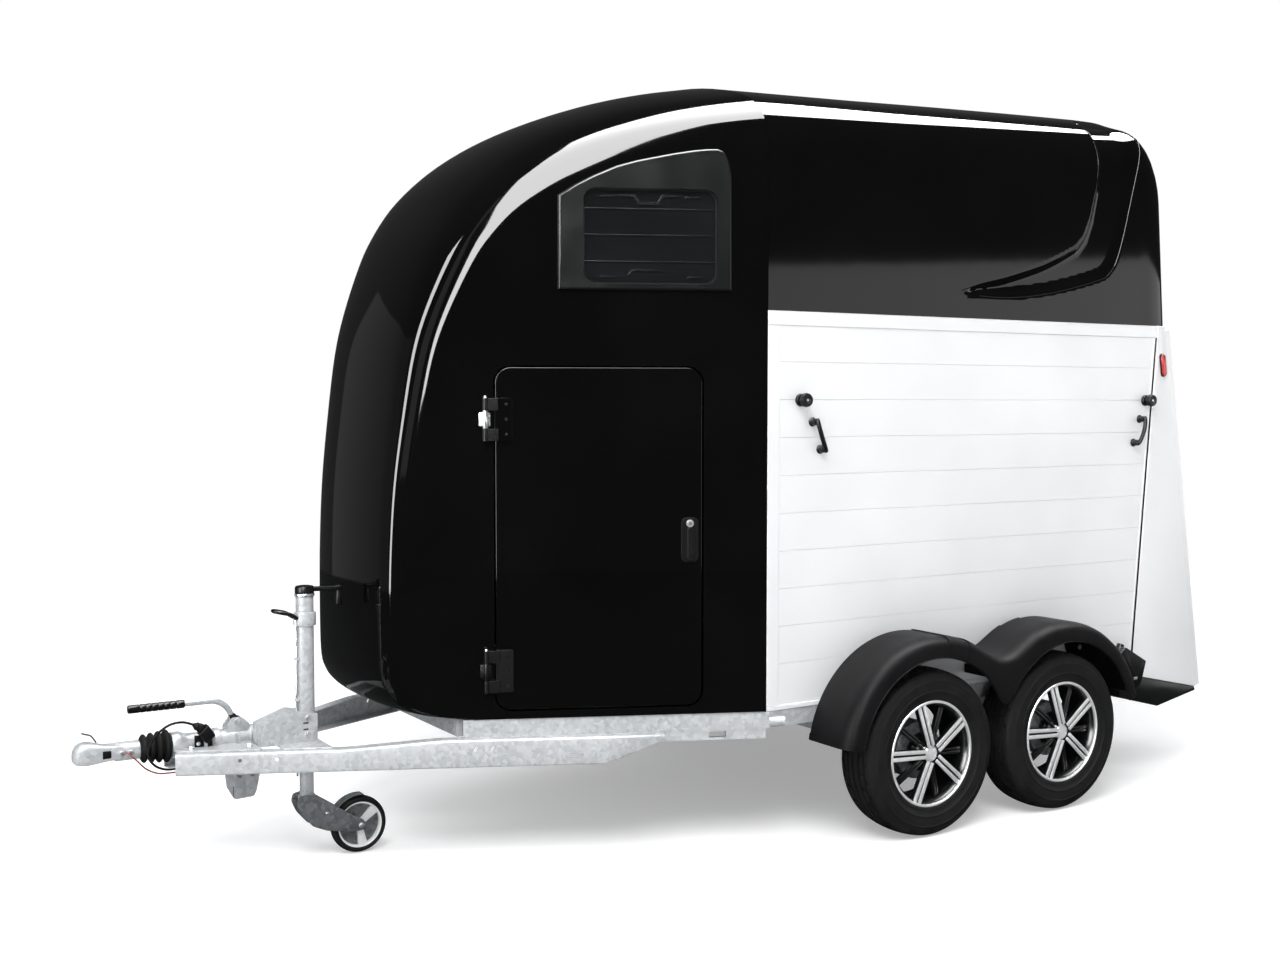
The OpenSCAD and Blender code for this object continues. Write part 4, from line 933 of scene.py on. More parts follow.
walls = {
    "thickness": 0.025, "proud": 0.004, "sealTop": -1.420, "sealLow": -1.296, "postWide": 0.051,
    "lines": (0.661, 0.794, 0.927, 1.060, 1.193, 1.326, 1.459, 1.592, 1.725),  # plank joints
    "groove": 0.0016,
}


def plankWall():
    bm = bmesh.new()
    front, low, high = seamX - 0.0015, wallFoot, wallTop
    inner = halfWidth - walls["thickness"]
    face = halfWidth - walls["proud"]
    lines = (low,) + walls["lines"] + (high,)
    for bottom, top in zip(lines, lines[1:]):  # one plank after the other, with a groove between
        shift = (bottom - low) / (high - low) * (walls["sealTop"] - walls["sealLow"])
        shiftTop = (top - low) / (high - low) * (walls["sealTop"] - walls["sealLow"])
        half = walls["groove"] / 2
        outline = [(front, bottom + half), (front, top - half), (walls["sealLow"] + shiftTop, top - half),
                   (walls["sealLow"] + shift, bottom + half)]
        join(bm, plate(outline, inner, face, 0, 0.0016), 0)
    back = [(front, low), (front, high), (walls["sealTop"], high), (walls["sealLow"], low)]
    join(bm, plate(back, inner + 0.002, face - 0.0025, 0, 0), 0)
    # raised frame: top rail, front post with a rounded outer edge, foot rail, slanted rear seal
    join(bm, plate([(front, high - 0.051), (front, high), (walls["sealTop"], high),
                    (walls["sealTop"] + 0.004, high - 0.051)], inner, halfWidth, 0, 0.003, 3), 0)
    join(bm, plate(rectangle(front - 0.051, low + 0.0165, 0.051, high - low - 0.068), inner, halfWidth, 0, 0.003, 3), 0)
    join(bm, plate([(walls["sealLow"], low), (front, low), (front, low + 0.016), (walls["sealLow"] - 0.002, low + 0.016)],
                   inner, halfWidth, 0, 0.002), 0)
    join(bm, plate([(walls["sealLow"] - 0.001, low + 0.01), (walls["sealLow"] + 0.007, low + 0.01),
                    (walls["sealTop"] + 0.009, high - 0.045), (walls["sealTop"] + 0.001, high - 0.045)],
                   inner, halfWidth - 0.001, 0, 0.001), 1)
    join(bm, plate([(walls["sealLow"] + 0.010, low + 0.014), (walls["sealLow"] + 0.016, low + 0.014),
                    (walls["sealTop"] + 0.018, high - 0.05), (walls["sealTop"] + 0.012, high - 0.05)],
                   face - 0.002, face + 0.002, 0, 0.0008), 0)
    return bm


for side, sign in sides:
    wall = plankWall()
    if sign < 0:
        mirrorToRight(wall)
    addPiece("wall_" + side + "_planks", wall, [plankMetal, bellowsRubber, darkZinc],
             stands=["wall_" + side], weighted=True)
print("walls made")


# Wheels

tyre = {
    "bead": 0.187, "steps": 120,
    # radius and half width from the bead over the side wall to the tread's edge
    "side": [(0.187, 0.068), (0.1925, 0.0765), (0.199, 0.0815), (0.205, 0.0835), (0.2055, 0.0815), (0.213, 0.0835),
             (0.226, 0.0875), (0.2275, 0.0893), (0.2325, 0.0893), (0.234, 0.0877), (0.246, 0.0893),
             (0.262, 0.0885), (0.2635, 0.0897), (0.268, 0.0892), (0.2695, 0.0877), (0.279, 0.0852),
             (0.288, 0.0812), (0.2945, 0.0765), (0.2995, 0.0705)],
    "grooves": (0.0, 0.028, 0.0525), "grooveWide": 0.008, "grooveDeep": 0.007,
}
rim = {
    "radius": 0.195, "steps": 96, "spokeTurn": -75, "spokes": 5, "hub": 0.072, "lipWide": 0.0085,
    "discDepth": 0.010, "nutCircle": 0.050,
}


def tyreShape():
    profile = list(tyre["side"])
    crown = lambda h: tyreRadius - 0.0005 - 0.007 * (h / 0.0705) ** 2 - 0.0006 * (h / 0.0705) ** 8
    edges = []
    for centre in sorted(tyre["grooves"], reverse=True):
        half = tyre["grooveWide"] / 2
        for h, deep in ((centre + half, 0), (centre + half * 0.7, 1), (centre - half * 0.7, 1), (centre - half, 0)):
            edges.append((crown(h) - deep * tyre["grooveDeep"], h))
    half = [(crown(0.0665), 0.0665)] + [e for e in edges if e[1] > 0]
    profile += half
    whole = profile + [(r, -h) for r, h in reversed(profile)]
    bm = turned(whole, tyre["steps"])
    # lateral grooves at both shoulders: every third strip is pushed in
    cut = []
    for face in bm.faces:
        centre = face.calc_center_median()
        radius = math.hypot(centre.x, centre.y)
        step = int(round(math.degrees(math.atan2(centre.y, centre.x)) / 360 * tyre["steps"] - 0.5))
        if radius > tyreRadius - 0.012 and 0.058 < abs(centre.z) < 0.0705 and step % 4 == 0:
            cut.append(face)
        elif radius > tyreRadius - 0.006 and 0.033 < abs(centre.z) < 0.048 and step % 4 == 2:
            cut.append(face)
    bmesh.ops.inset_individual(bm, faces=cut, thickness=0.0012, depth=0)
    for face in cut:
        middle = face.calc_center_median()
        inward = -Vector((middle.x, middle.y, 0)).normalized() * 0.005
        bmesh.ops.translate(bm, vec=inward, verts=face.verts)
    return bm


def spokeShape(width, top, deep, inner, outer, taperTo=1.0):  # one spoke along +X, its face up
    bm = bmesh.new()
    bmesh.ops.create_cube(bm, size=1)
    bmesh.ops.scale(bm, vec=(outer - inner, width, deep), verts=bm.verts)
    bmesh.ops.translate(bm, vec=((outer + inner) / 2, 0, top - deep / 2), verts=bm.verts)
    for vert in bm.verts:
        if vert.co.x > (outer + inner) / 2:
            vert.co.y *= taperTo
        else:
            vert.co.z += 0.010
    top = [e for e in bm.edges if e.calc_face_angle() > 0.5]
    bmesh.ops.bevel(bm, geom=top, offset=0.0018, segments=2, profile=0.5, affect="EDGES",
                    clamp_overlap=True, material=-1)
    return bm


def rimShape():  # the outer face looks along +Z here
    bm = bmesh.new()
    radius, w = rim["radius"], tyreHalf
    lip = [(radius - 0.0095, w - 0.0225), (radius - 0.0095, w - 0.0108), (radius - 0.0075, w - 0.0088),
           (radius - 0.002, w - 0.0088), (radius + 0.0005, w - 0.0115), (radius - 0.0005, w - 0.019),
           (radius - 0.0080, w - 0.0225)]
    join(bm, turned(lip, rim["steps"]), 0)
    barrel = [(radius - 0.0095, w - 0.018), (radius - 0.016, w - 0.024), (radius - 0.021, w - 0.042),
              (radius - 0.020, -w + 0.03), (radius - 0.010, -w + 0.020), (radius - 0.001, -w + 0.014),
              (radius - 0.001, -w + 0.011), (radius - 0.0085, -w + 0.011), (radius - 0.024, -w + 0.025),
              (radius - 0.026, w - 0.046), (radius - 0.0215, w - 0.028), (radius - 0.0145, w - 0.0175)]
    join(bm, turned(barrel, rim["steps"]), 1)
    for i in range(rim["spokes"]):
        turn = Matrix.Rotation(math.radians(rim["spokeTurn"] + 72 * i), 4, "Z")
        for hand in (-1, 1):  # a split spoke: two bright blades over a dark body
            lean = Matrix.Translation((0, hand * 0.0095, 0)) @ Matrix.Rotation(hand * 0.012, 4, "Z")
            join(bm, spokeShape(0.0125, w - 0.0135, 0.007, 0.030, radius - 0.008, 1.15), 0, turn @ lean)
            join(bm, spokeShape(0.0135, w - 0.0195, 0.020, 0.030, radius - 0.012, 1.15), 1, turn @ lean)
        join(bm, spokeShape(0.010, w - 0.021, 0.014, 0.030, radius - 0.014, 1.0), 1, turn)
        half = Matrix.Rotation(math.radians(rim["spokeTurn"] + 72 * i + 36), 4, "Z")
        for hand in (-1, 1):  # between them a deeper black spoke
            join(bm, spokeShape(0.009, w - 0.032, 0.018, 0.026, radius - 0.016, 1.2), 1,
                 half @ Matrix.Translation((0, hand * 0.0062, 0)))
        nut = rod((rim["nutCircle"], 0, 0.030), (rim["nutCircle"], 0, 0.062), 0.0095, 0.0085, 6, 0.0012)
        join(bm, nut, 2, half)
        join(bm, rod((rim["nutCircle"], 0, 0.024), (rim["nutCircle"], 0, 0.046), 0.0125, 0.0125, 24, 0.001), 1, half)
    disc = [(0.0, 0.012), (0.030, 0.012), (0.062, 0.014), (0.070, 0.020), (rim["hub"], 0.034), (0.068, 0.043),
            (0.052, 0.047), (0.042, 0.060), (0.0335, w - 0.0195), (0.0335, w - 0.030), (0.0, w - 0.030)]
    join(bm, turned(disc, 64, False), 1)
    cap = [(0.0, w - 0.0095), (0.010, w - 0.0097), (0.020, w - 0.0108), (0.0265, w - 0.013), (0.0295, w - 0.0165),
           (0.0300, w - 0.032), (0.0, w - 0.032)]
    join(bm, turned(cap, 64, False), 0)
    ring = [(0.0215, w - 0.0109), (0.0225, w - 0.0104), (0.0235, w - 0.0110), (0.0225, w - 0.0130)]
    join(bm, turned(ring, 64), 2)
    drum = [(0.0, 0.009), (0.098, 0.009), (0.106, 0.004), (0.106, -0.108), (0.100, -0.108), (0.100, 0.0),
            (0.0, 0.0)]
    join(bm, turned(drum, 64, False), 3)
    return bm


for axle, back in (("front", 0.0), ("rear", axleGap)):
    for side, sign in sides:
        name = axle + "_" + side
        turnOut = Matrix.Translation((-back, wheelY, hubZ)) @ Matrix.Rotation(-math.pi / 2, 4, "X")
        outer, inner = tyreShape(), rimShape()
        for shape in (outer, inner):
            bmesh.ops.transform(shape, matrix=turnOut, verts=shape.verts)
            if sign < 0:
                mirrorToRight(shape)
        addPiece("tyre_" + name + "_tread", outer, [tyreRubber], "wheel_" + name,
                 ["tyre_" + name])
        addPiece("rim_" + name + "_face", inner, [bright, lacquer, plated, darkZinc], "wheel_" + name,
                 ["rim_" + name])
print("wheels made")


# Fenders

fender = {
    "radius": 0.428, "opening": 0.352, "footAngle": 9, "rearAngle": 167, "joinAngle": 118,
    "valley": 0.626, "tip": (0.458, 0.030), "thickness": 0.004,
    "layers": [  # from and to along the run, and how far each lies over the skin
        {"from": 9, "to": None, "rise": 0.0},
        {"from": 9.4, "to": 14, "rise": 0.003},
        {"from": 98, "to": 98, "rise": 0.0045},
        {"from": 112, "to": 112, "rise": 0.0095},
    ],
}


def fenderRun(start, end, step=3.0):
    # points of the fender's top line, their outward normals and the lower edge below them
    middle = -axleGap / 2
    radius, opening, join_ = fender["radius"], fender["opening"], fender["joinAngle"]
    rows = []
    count = max(2, int(round((join_ - start) / step)))
    for i in range(count + 1):
        a = math.radians(start + (join_ - start) * i / count)
        out = Vector((math.cos(a), 0, math.sin(a)))
        rows.append((Vector((0, 0, hubZ)) + out * radius, out, math.degrees(a)))
    last, out, angle = rows[-1]
    along = Vector((-out.z, 0, out.x))
    points = [last, last + along * 0.068, Vector((middle + 0.052, 0, fender["valley"])),
              Vector((middle, 0, fender["valley"]))]
    for i in range(1, 11):
        t = i / 10
        p = (points[0] * (1 - t) ** 3 + points[1] * 3 * t * (1 - t) ** 2
             + points[2] * 3 * t * t * (1 - t) + points[3] * t ** 3)
        d = (points[1] - points[0]) * (1 - t) ** 2 + (points[2] - points[1]) * 2 * t * (1 - t) \
            + (points[3] - points[2]) * t * t
        d.normalize()
        rows.append((p, Vector((d.z, 0, -d.x)), fender["joinAngle"] + t * 34))
    half = []
    tipZ, round_ = fender["tip"]
    for p, n, angle in rows:
        a = math.radians(min(angle, 149.5))
        q = Vector((math.cos(a) * opening, 0, hubZ + math.sin(a) * opening))
        if angle > 142:  # the blunt tip between the two openings
            t = (angle - 142) / 10
            edge = Vector((math.cos(math.radians(142)) * opening, 0, hubZ + math.sin(math.radians(142)) * opening))
            q = quadratic(edge, Vector((middle + round_, 0, tipZ)), Vector((middle, 0, tipZ)), t)
        half.append((p, n, q))
    flip = lambda v: Vector((2 * middle - v.x, 0, v.z))
    turned_ = lambda v: Vector((-v.x, 0, v.z))
    other = [(flip(p), turned_(n), flip(q)) for p, n, q in reversed(half[:-1])]
    run = half + other
    if end is not None and end < 90:  # only the foot
        run = [row for row in half if row[0].x > math.cos(math.radians(end + 0.5)) * radius]
    elif end is None:
        run = [row for row in run if not (row[0].x < 2 * middle and
                                          row[0].z < hubZ + math.sin(math.radians(180 - fender["rearAngle"])) * radius - 0.001)]
    return run


def fenderStrip(layer, footAt=None):
    lines = []
    for p, n, q in fenderRun(layer["from"], layer["to"]):
        rise = layer["rise"]
        top = p + n * rise
        row = [Vector((top.x, 0.8815, top.z)), Vector((top.x, 1.036, top.z))]
        for deep, y in ((0.0012, 1.052), (0.005, 1.067), (0.0125, 1.081), (0.023, 1.091), (0.034, 1.0965)):
            at = top - n * deep
            row.append(Vector((at.x, y + rise * 0.3, at.z)))
        start = p - n * 0.045
        for share, y in ((0, 1.0990), (0.35, 1.1002), (0.7, 1.1002), (0.80, 1.0998), (0.84, 1.1012),
                         (0.88, 1.0998), (0.95, 1.0985), (1.0, 1.0940)):
            at = start.lerp(q, share)
            row.append(Vector((at.x, y + rise * 0.3, at.z)))
        lines.append(row)
    bm = bmesh.new()
    bridged(bm, lines)
    bmesh.ops.recalc_face_normals(bm, faces=bm.faces)
    lift = sum((f.normal.y * f.calc_area() for f in bm.faces))
    if lift < 0:
        bmesh.ops.reverse_faces(bm, faces=bm.faces)
    bmesh.ops.solidify(bm, geom=bm.faces[:], thickness=fender["thickness"])
    bmesh.ops.recalc_face_normals(bm, faces=bm.faces)
    edges = [e for e in bm.edges if e.is_manifold and e.calc_face_angle() > 1.2]
    bmesh.ops.bevel(bm, geom=edges, offset=0.0011, segments=2, profile=0.5, affect="EDGES",
                    clamp_overlap=True, material=-1)
    return bm


def fenderShape():
    bm = bmesh.new()
    for layer in fender["layers"]:
        join(bm, fenderStrip(layer), 0)
    # stay behind the rear wheel, with its two bolts
    join(bm, plate([(-0.93, 0.50), (-0.86, 0.66), (-0.93, 0.70), (-1.03, 0.62), (-1.06, 0.50)], 0.8815, 0.887,
                   0.02, 0.001), 0)
    for x, z in ((-0.945, 0.622), (-0.968, 0.588)):
        join(bm, rod((x, 0.886, z), (x, 0.8925, z), 0.007, steps=6, edge=0.001), 1)
        join(bm, rod((x, 0.886, z), (x, 0.8885, z), 0.0105, steps=24, edge=0.0006), 1)
    join(bm, block((-0.348, 0.8815, 0.545), (-0.332, 1.085, 0.580), 0.003), 0)
    return bm


for side, sign in sides:
    shape = fenderShape()
    if sign < 0:
        mirrorToRight(shape)
    addPiece("fender_" + side + "_arches", shape, [fenderPlastic, plated],
             stands=["fender_" + side], angle=50, weighted=True)
print("fenders made")


# Rear end: posts, bumper, ramp, side lamps and stowed chocks

rear = {
    "lean": math.radians(9), "foot": (-1.740, 0.352), "thickness": 0.030, "length": 1.5703,
    "half": 0.876, "plank": 0.133, "postEdge": 0.818,
}


def rampInner(z):  # just ahead of the closed ramp's inner face
    return (z - rear["foot"][1]) * math.tan(rear["lean"]) + rear["foot"][0] \
        + rear["thickness"] / math.cos(rear["lean"]) + 0.0005


def rearPost():
    bm = bmesh.new()
    skin = [(walls["sealTop"] - 0.0012, wallTop), (rampInner(wallTop), wallTop), (rampInner(0.35), 0.350),
            (-1.308, 0.437), (walls["sealLow"] - 0.0012, wallFoot)]
    join(bm, plate(skin, rear["postEdge"], halfWidth, 0, 0.0025, 3), 0)
    return bm


def rampShape():
    bm = bmesh.new()
    long, half, thick = rear["length"] - 0.012, rear["half"], rear["thickness"]
    rows = [0.0]
    while rows[-1] + rear["plank"] < long - 0.08:
        rows.append(rows[-1] + rear["plank"])
    rows.append(long)
    for low, high in zip(rows, rows[1:]):
        bottom = low + (0.030 if low == 0 else 0.0012)
        join(bm, block((0.002, -half + 0.036, bottom), (thick - 0.002, half - 0.036, high - 0.0012), 0.0018), 0)
    join(bm, block((0.006, -half + 0.03, 0.028), (thick - 0.006, half - 0.03, long - 0.002), 0), 2)
    for sign in (-1, 1):  # folded side channels
        y0, y1 = sorted((sign * half, sign * (half - 0.038)))
        join(bm, block((0, y0, 0.006), (thick, y1, long), 0.0025, 3), 0)
        join(bm, block((thick, sign * 0.69 - 0.02, 0.06), (thick + 0.006, sign * 0.69 + 0.02, long - 0.1), 0.002), 2)
    join(bm, block((0.0005, -half + 0.03, long - 0.034), (thick - 0.0005, half - 0.03, long - 0.0005), 0.0025), 0)
    step = 0.145
    for i in range(1, 10):  # cleats for the hooves on the inner face
        z = i * step
        join(bm, block((thick - 0.003, -half + 0.20, z - 0.010), (thick + 0.005, half - 0.20, z + 0.010), 0.003), 1)
    join(bm, block((thick - 0.004, -half + 0.17, 0.08), (thick + 0.0015, half - 0.17, long - 0.12), 0.001), 1)
    for y in (-0.3, 0.3):
        join(bm, rod((0.012, y - 0.21, 0), (0.012, y + 0.21, 0), 0.009, edge=0.001), 3)
        join(bm, block((0.002, y - 0.2, 0.004), (0.022, y + 0.2, 0.034), 0.002), 0)
    for sign in (-1, 1):  # over-centre lock levers at both edges
        y = sign * (half - 0.036)
        z = 0.55 * rear["length"]
        join(bm, block((-0.005, y - 0.022, z - 0.07), (0.004, y + 0.022, z + 0.07), 0.004, 3), 3)
        join(bm, rod((-0.030, y, z + 0.03), (-0.002, y, z + 0.03), 0.013, edge=0.0015), 3)
        join(bm, block((-0.034, y - 0.009, z - 0.06), (-0.022, y + 0.009, z + 0.036), 0.004, 3), 4)
        for up in (-0.055, 0.058):
            join(bm, rod((-0.0075, y, z + up), (-0.004, y, z + up), 0.0055, 0.0045, 20, 0.0008), 3)
    matrix = Matrix.Translation((rear["foot"][0], 0, rear["foot"][1])) @ Matrix.Rotation(rear["lean"], 4, "Y")
    bmesh.ops.transform(bm, matrix=matrix, verts=bm.verts)
    return bm


def bumperShape():
    bm = bmesh.new()
    outline = [(-1.230, 0.352), (-1.230, 0.4365), (-1.308, 0.4365), (rampInner(0.35), 0.3495),
               (rampInner(0.35) - 0.006, 0.332), (-1.470, 0.288)]
    join(bm, plate(outline, -halfWidth + 0.006, halfWidth - 0.006, 0, 0.004, 3), 0)
    lean = Matrix.Translation((rear["foot"][0], 0, rear["foot"][1])) @ Matrix.Rotation(rear["lean"], 4, "Y")
    for y in (-0.6, 0.0, 0.6):
        join(bm, rod((0.012, y - 0.037, 0), (0.012, y + 0.037, 0), 0.009, edge=0.001), 1, lean)
        join(bm, block((0.004, y - 0.037, -0.016), (0.050, y + 0.037, 0.0), 0.002), 1, lean)
    for sign in (-1, 1):
        wedge = plate([(-1.240, 0.398), (-1.270, 0.420), (-1.298, 0.510), (-1.172, 0.578), (-1.142, 0.556),
                       (-1.172, 0.470)], halfWidth + 0.001, halfWidth + 0.071, 0.006, 0.003, 3)
        shelf = plate([(-1.272, 0.396), (-1.236, 0.396), (-1.236, 0.430), (-1.272, 0.430)],
                      halfWidth - 0.012, halfWidth + 0.048, 0, 0.002)
        knob = rod((-1.160, halfWidth + 0.036, 0.540), (-1.181, halfWidth + 0.036, 0.5853), 0.015, edge=0.003)
        ribs = [plate([(-1.247, 0.430), (-1.262, 0.436), (-1.284, 0.505), (-1.268, 0.513)],
                      halfWidth + 0.0705, halfWidth + 0.0715, 0, 0.0004),
                plate([(-1.236, 0.440), (-1.180, 0.556), (-1.166, 0.548), (-1.196, 0.474)],
                      halfWidth + 0.0705, halfWidth + 0.0715, 0, 0.0004)]
        clip = block((-1.244, halfWidth + 0.069, 0.437), (-1.222, halfWidth + 0.0718, 0.449), 0.001)
        for shape, finish in [(wedge, 2), (shelf, 2), (knob, 2), (clip, 1)] + [(r, 2) for r in ribs]:
            if sign < 0:
                mirrorToRight(shape)
            join(bm, shape, finish)
    return bm


def sideLamp():
    bm = bmesh.new()
    capsule = lambda half, long: [(half * math.cos(a) , long * (1 if math.sin(a) > 0 else -1) + half * math.sin(a))
                                  for a in [2 * math.pi * (i + 0.5) / 32 for i in range(32)]]
    join(bm, plate(capsule(0.0150, 0.034), 0.0003, 0.006, 0, 0.0012), 0)
    join(bm, plate(capsule(0.0125, 0.033), 0.005, 0.0142, 0, 0.004, 4), 1)
    matrix = Matrix.Translation((-1.451, halfWidth, 1.739)) @ Matrix.Rotation(rear["lean"], 4, "Y")
    bmesh.ops.transform(bm, matrix=matrix, verts=bm.verts)
    return bm


for side, sign in sides:
    shape = rearPost()
    if sign < 0:
        mirrorToRight(shape)
    addPiece("rear_post_" + side + "_skin", shape, [plankMetal],
             stands=["rear_post_" + side])
addPiece("ramp_leaf", rampShape(), [plankMetal, matRubber, darkZinc, plated, handlePlastic], "ramp",
         ["ramp"])
addPiece("rear_bumper_skin", bumperShape(), [framePlastic, plated, handlePlastic],
         stands=["rear_bumper"])
addPiece("side_lamps", paired(sideLamp), [handlePlastic, redLens], stands=["tail_lamps"])
print("rear end made")


# Bar releases and grab handles on the walls

def barKnobs():
    bm = bmesh.new()
    face = halfWidth - walls["proud"] + 0.0003
    for x in (0.467, -1.350):
        at = Matrix.Translation((x, face, 1.591)) @ Matrix.Rotation(-math.pi / 2, 4, "X")
        join(bm, turned([(0, 0), (0.0225, 0), (0.0225, 0.009), (0.0205, 0.012), (0.0145, 0.013), (0.0138, 0.026),
                         (0, 0.026)], 48, False), 0, at)
        join(bm, turned([(0, 0.024), (0.0215, 0.024), (0.0240, 0.0265), (0.0240, 0.0405), (0.0222, 0.0440),
                         (0.0125, 0.0440), (0.0112, 0.0422), (0, 0.0422)], 48, False), 0, at)
        for i in range(12):
            turn = Matrix.Rotation(math.radians(30 * i), 4, "Z")
            join(bm, rod((0.0236, 0, 0.0275), (0.0236, 0, 0.0395), 0.0014, steps=8), 0, at @ turn)
        join(bm, rod((0, 0, 0.041), (0, 0, 0.0434), 0.005, steps=24, edge=0.0006), 1, at)
    for x, turn in ((0.395, 20), (-1.300, -20)):
        at = Matrix.Translation((x, face, 1.465)) @ Matrix.Rotation(math.radians(turn), 4, "Y")
        side = 1 if turn > 0 else -1
        join(bm, turned([(0, 0), (0.0165, 0), (0.0165, 0.003), (0.0130, 0.006), (0.0115, 0.028), (0, 0.030)], 32,
                        False), 0, at @ Matrix.Translation((0, 0, 0.052)) @ Matrix.Rotation(-math.pi / 2, 4, "X"))
        join(bm, turned([(0, 0), (0.0165, 0), (0.0165, 0.003), (0.0130, 0.006), (0.0115, 0.028), (0, 0.030)], 32,
                        False), 0, at @ Matrix.Translation((0, 0, -0.052)) @ Matrix.Rotation(-math.pi / 2, 4, "X"))
        path = smoothPath([(-0.004 * side, 0.026, -0.060), (0, 0.0325, -0.050), (0.003 * side, 0.036, -0.025),
                           (0.004 * side, 0.037, 0), (0.003 * side, 0.036, 0.025), (0, 0.0325, 0.050),
                           (-0.004 * side, 0.026, 0.060)], 6)
        grip = swept(circle(0.0082, 20), path)
        join(bm, softened(grip, 0.0015, 2, 60), 0, at)
    return bm


addPiece("bar_knobs_and_handles", paired(barKnobs), [handlePlastic, plated],
         stands=["grab_fittings"])
print("fittings made")


# Drawbars: folded channels, open to the inside, with rounded folds

drawbar = {
    "front": 2.455, "aside": 0.078, "angle": math.radians(25), "low": 0.340, "wide": 0.050, "sheet": 0.005,
    "stations": [(0.0, 0.340, 0.4147), (0.55, 0.340, 0.4147), (0.58, 0.340, 0.4162), (0.85, 0.340, 0.4352),
                 (0.88, 0.340, 0.4367), (1.4423, 0.340, 0.4367), (1.6423, 0.416, 0.4367)],
    "fold": 0.008,
}


def channelRing(x, low, high):  # one closed section of the folded sheet
    wide, sheet, fold = drawbar["wide"], drawbar["sheet"], drawbar["fold"]
    fold = min(fold, (high - low) / 3)
    ring = [(wide, high)]
    corners = [((fold, high - fold), 90, 180), ((fold, low + fold), 180, 270)]
    for (y, z), start, end in corners:
        ring += [(y + fold * math.cos(math.radians(a)), z + fold * math.sin(math.radians(a)))
                 for a in (start, start + 22.5, start + 45, start + 67.5, end)]
    ring += [(wide, low), (wide, low + sheet)]
    bend = fold - sheet if fold > sheet else 0.0005
    for (y, z), start, end in reversed(corners):
        ring += [(y + bend * math.cos(math.radians(a)), z + bend * math.sin(math.radians(a)))
                 for a in (end, (start + end) / 2, start)]
    ring.append((wide, high - sheet))
    return [Vector((x, y, z)) for y, z in ring]


def drawbarShape():
    bm = bmesh.new()
    lines = [channelRing(*station) for station in drawbar["stations"]]
    bridged(bm, [line + [line[0]] for line in lines])
    bmesh.ops.remove_doubles(bm, verts=bm.verts, dist=1e-5)
    bmesh.ops.holes_fill(bm, edges=[e for e in bm.edges if e.is_boundary], sides=0)
    bmesh.ops.recalc_face_normals(bm, faces=bm.faces)
    softened(bm, 0.0008, 2, 50)
    turn = Matrix.Translation((drawbar["front"], drawbar["aside"], 0)) \
        @ Matrix.Rotation(math.pi - drawbar["angle"], 4, "Z")
    bmesh.ops.transform(bm, matrix=turn, verts=bm.verts)
    cut = bmesh.ops.bisect_plane(bm, geom=bm.verts[:] + bm.edges[:] + bm.faces[:], dist=1e-6,
                                 plane_co=(0, 0.052, 0), plane_no=(0, 1, 0), clear_inner=True)
    bmesh.ops.holes_fill(bm, edges=[e for e in bm.edges if e.is_boundary], sides=0)
    return bm, turn


def drawbarHoles(turn):
    holes = []
    for x in (0.210, 0.331):
        holes.append(rod((x, -0.01, 0.388), (x, 0.02, 0.388), 0.0065, steps=24))
    for x, tilt in ((0.992, 30), (1.048, 30)):
        slot = block((-0.0045, -0.01, -0.012), (0.0045, 0.02, 0.012), 0.0035, 3)
        bmesh.ops.transform(slot, matrix=Matrix.Translation((x, 0, 0.403)) @ Matrix.Rotation(math.radians(tilt), 4, "Y"),
                            verts=slot.verts)
        holes.append(slot)
    slot = block((1.30, -0.01, 0.366), (1.36, 0.02, 0.378), 0.0055, 4)
    holes.append(slot)
    for hole in holes:
        bmesh.ops.transform(hole, matrix=turn, verts=hole.verts)
    return holes


for side, sign in sides:
    shape, turn = drawbarShape()
    holes = drawbarHoles(turn)
    if sign < 0:
        mirrorToRight(shape)
        holes = [mirrorToRight(hole) for hole in holes]
    piece = addPiece("drawbar_" + side + "_channel", shape, [zinc],
                     stands=["drawbar_" + side])
    cutOut(piece, [cutter(hole) for hole in holes])
print("drawbars made")


# Overrun housing with bellows, coupling head and handbrake

coupling = {
    "front": 2.455, "ball": 0.430, "head": 2.727, "top": 0.415, "brake": (2.230, 0.490),
}


def hexBolt(at, axis, across=0.017, high=0.010):
    bm = rod((0, 0, 0), (0, 0, high), across / 2 / math.cos(math.pi / 6), steps=6, edge=0.0008)
    join(bm, rod((0, 0, 0), (0, 0, 0.0018), across * 0.68, steps=28, edge=0.0004), 0)
    turn = Vector(axis).to_track_quat("Z", "Y").to_matrix().to_4x4()
    bmesh.ops.transform(bm, matrix=Matrix.Translation(at) @ turn, verts=bm.verts)
    return bm


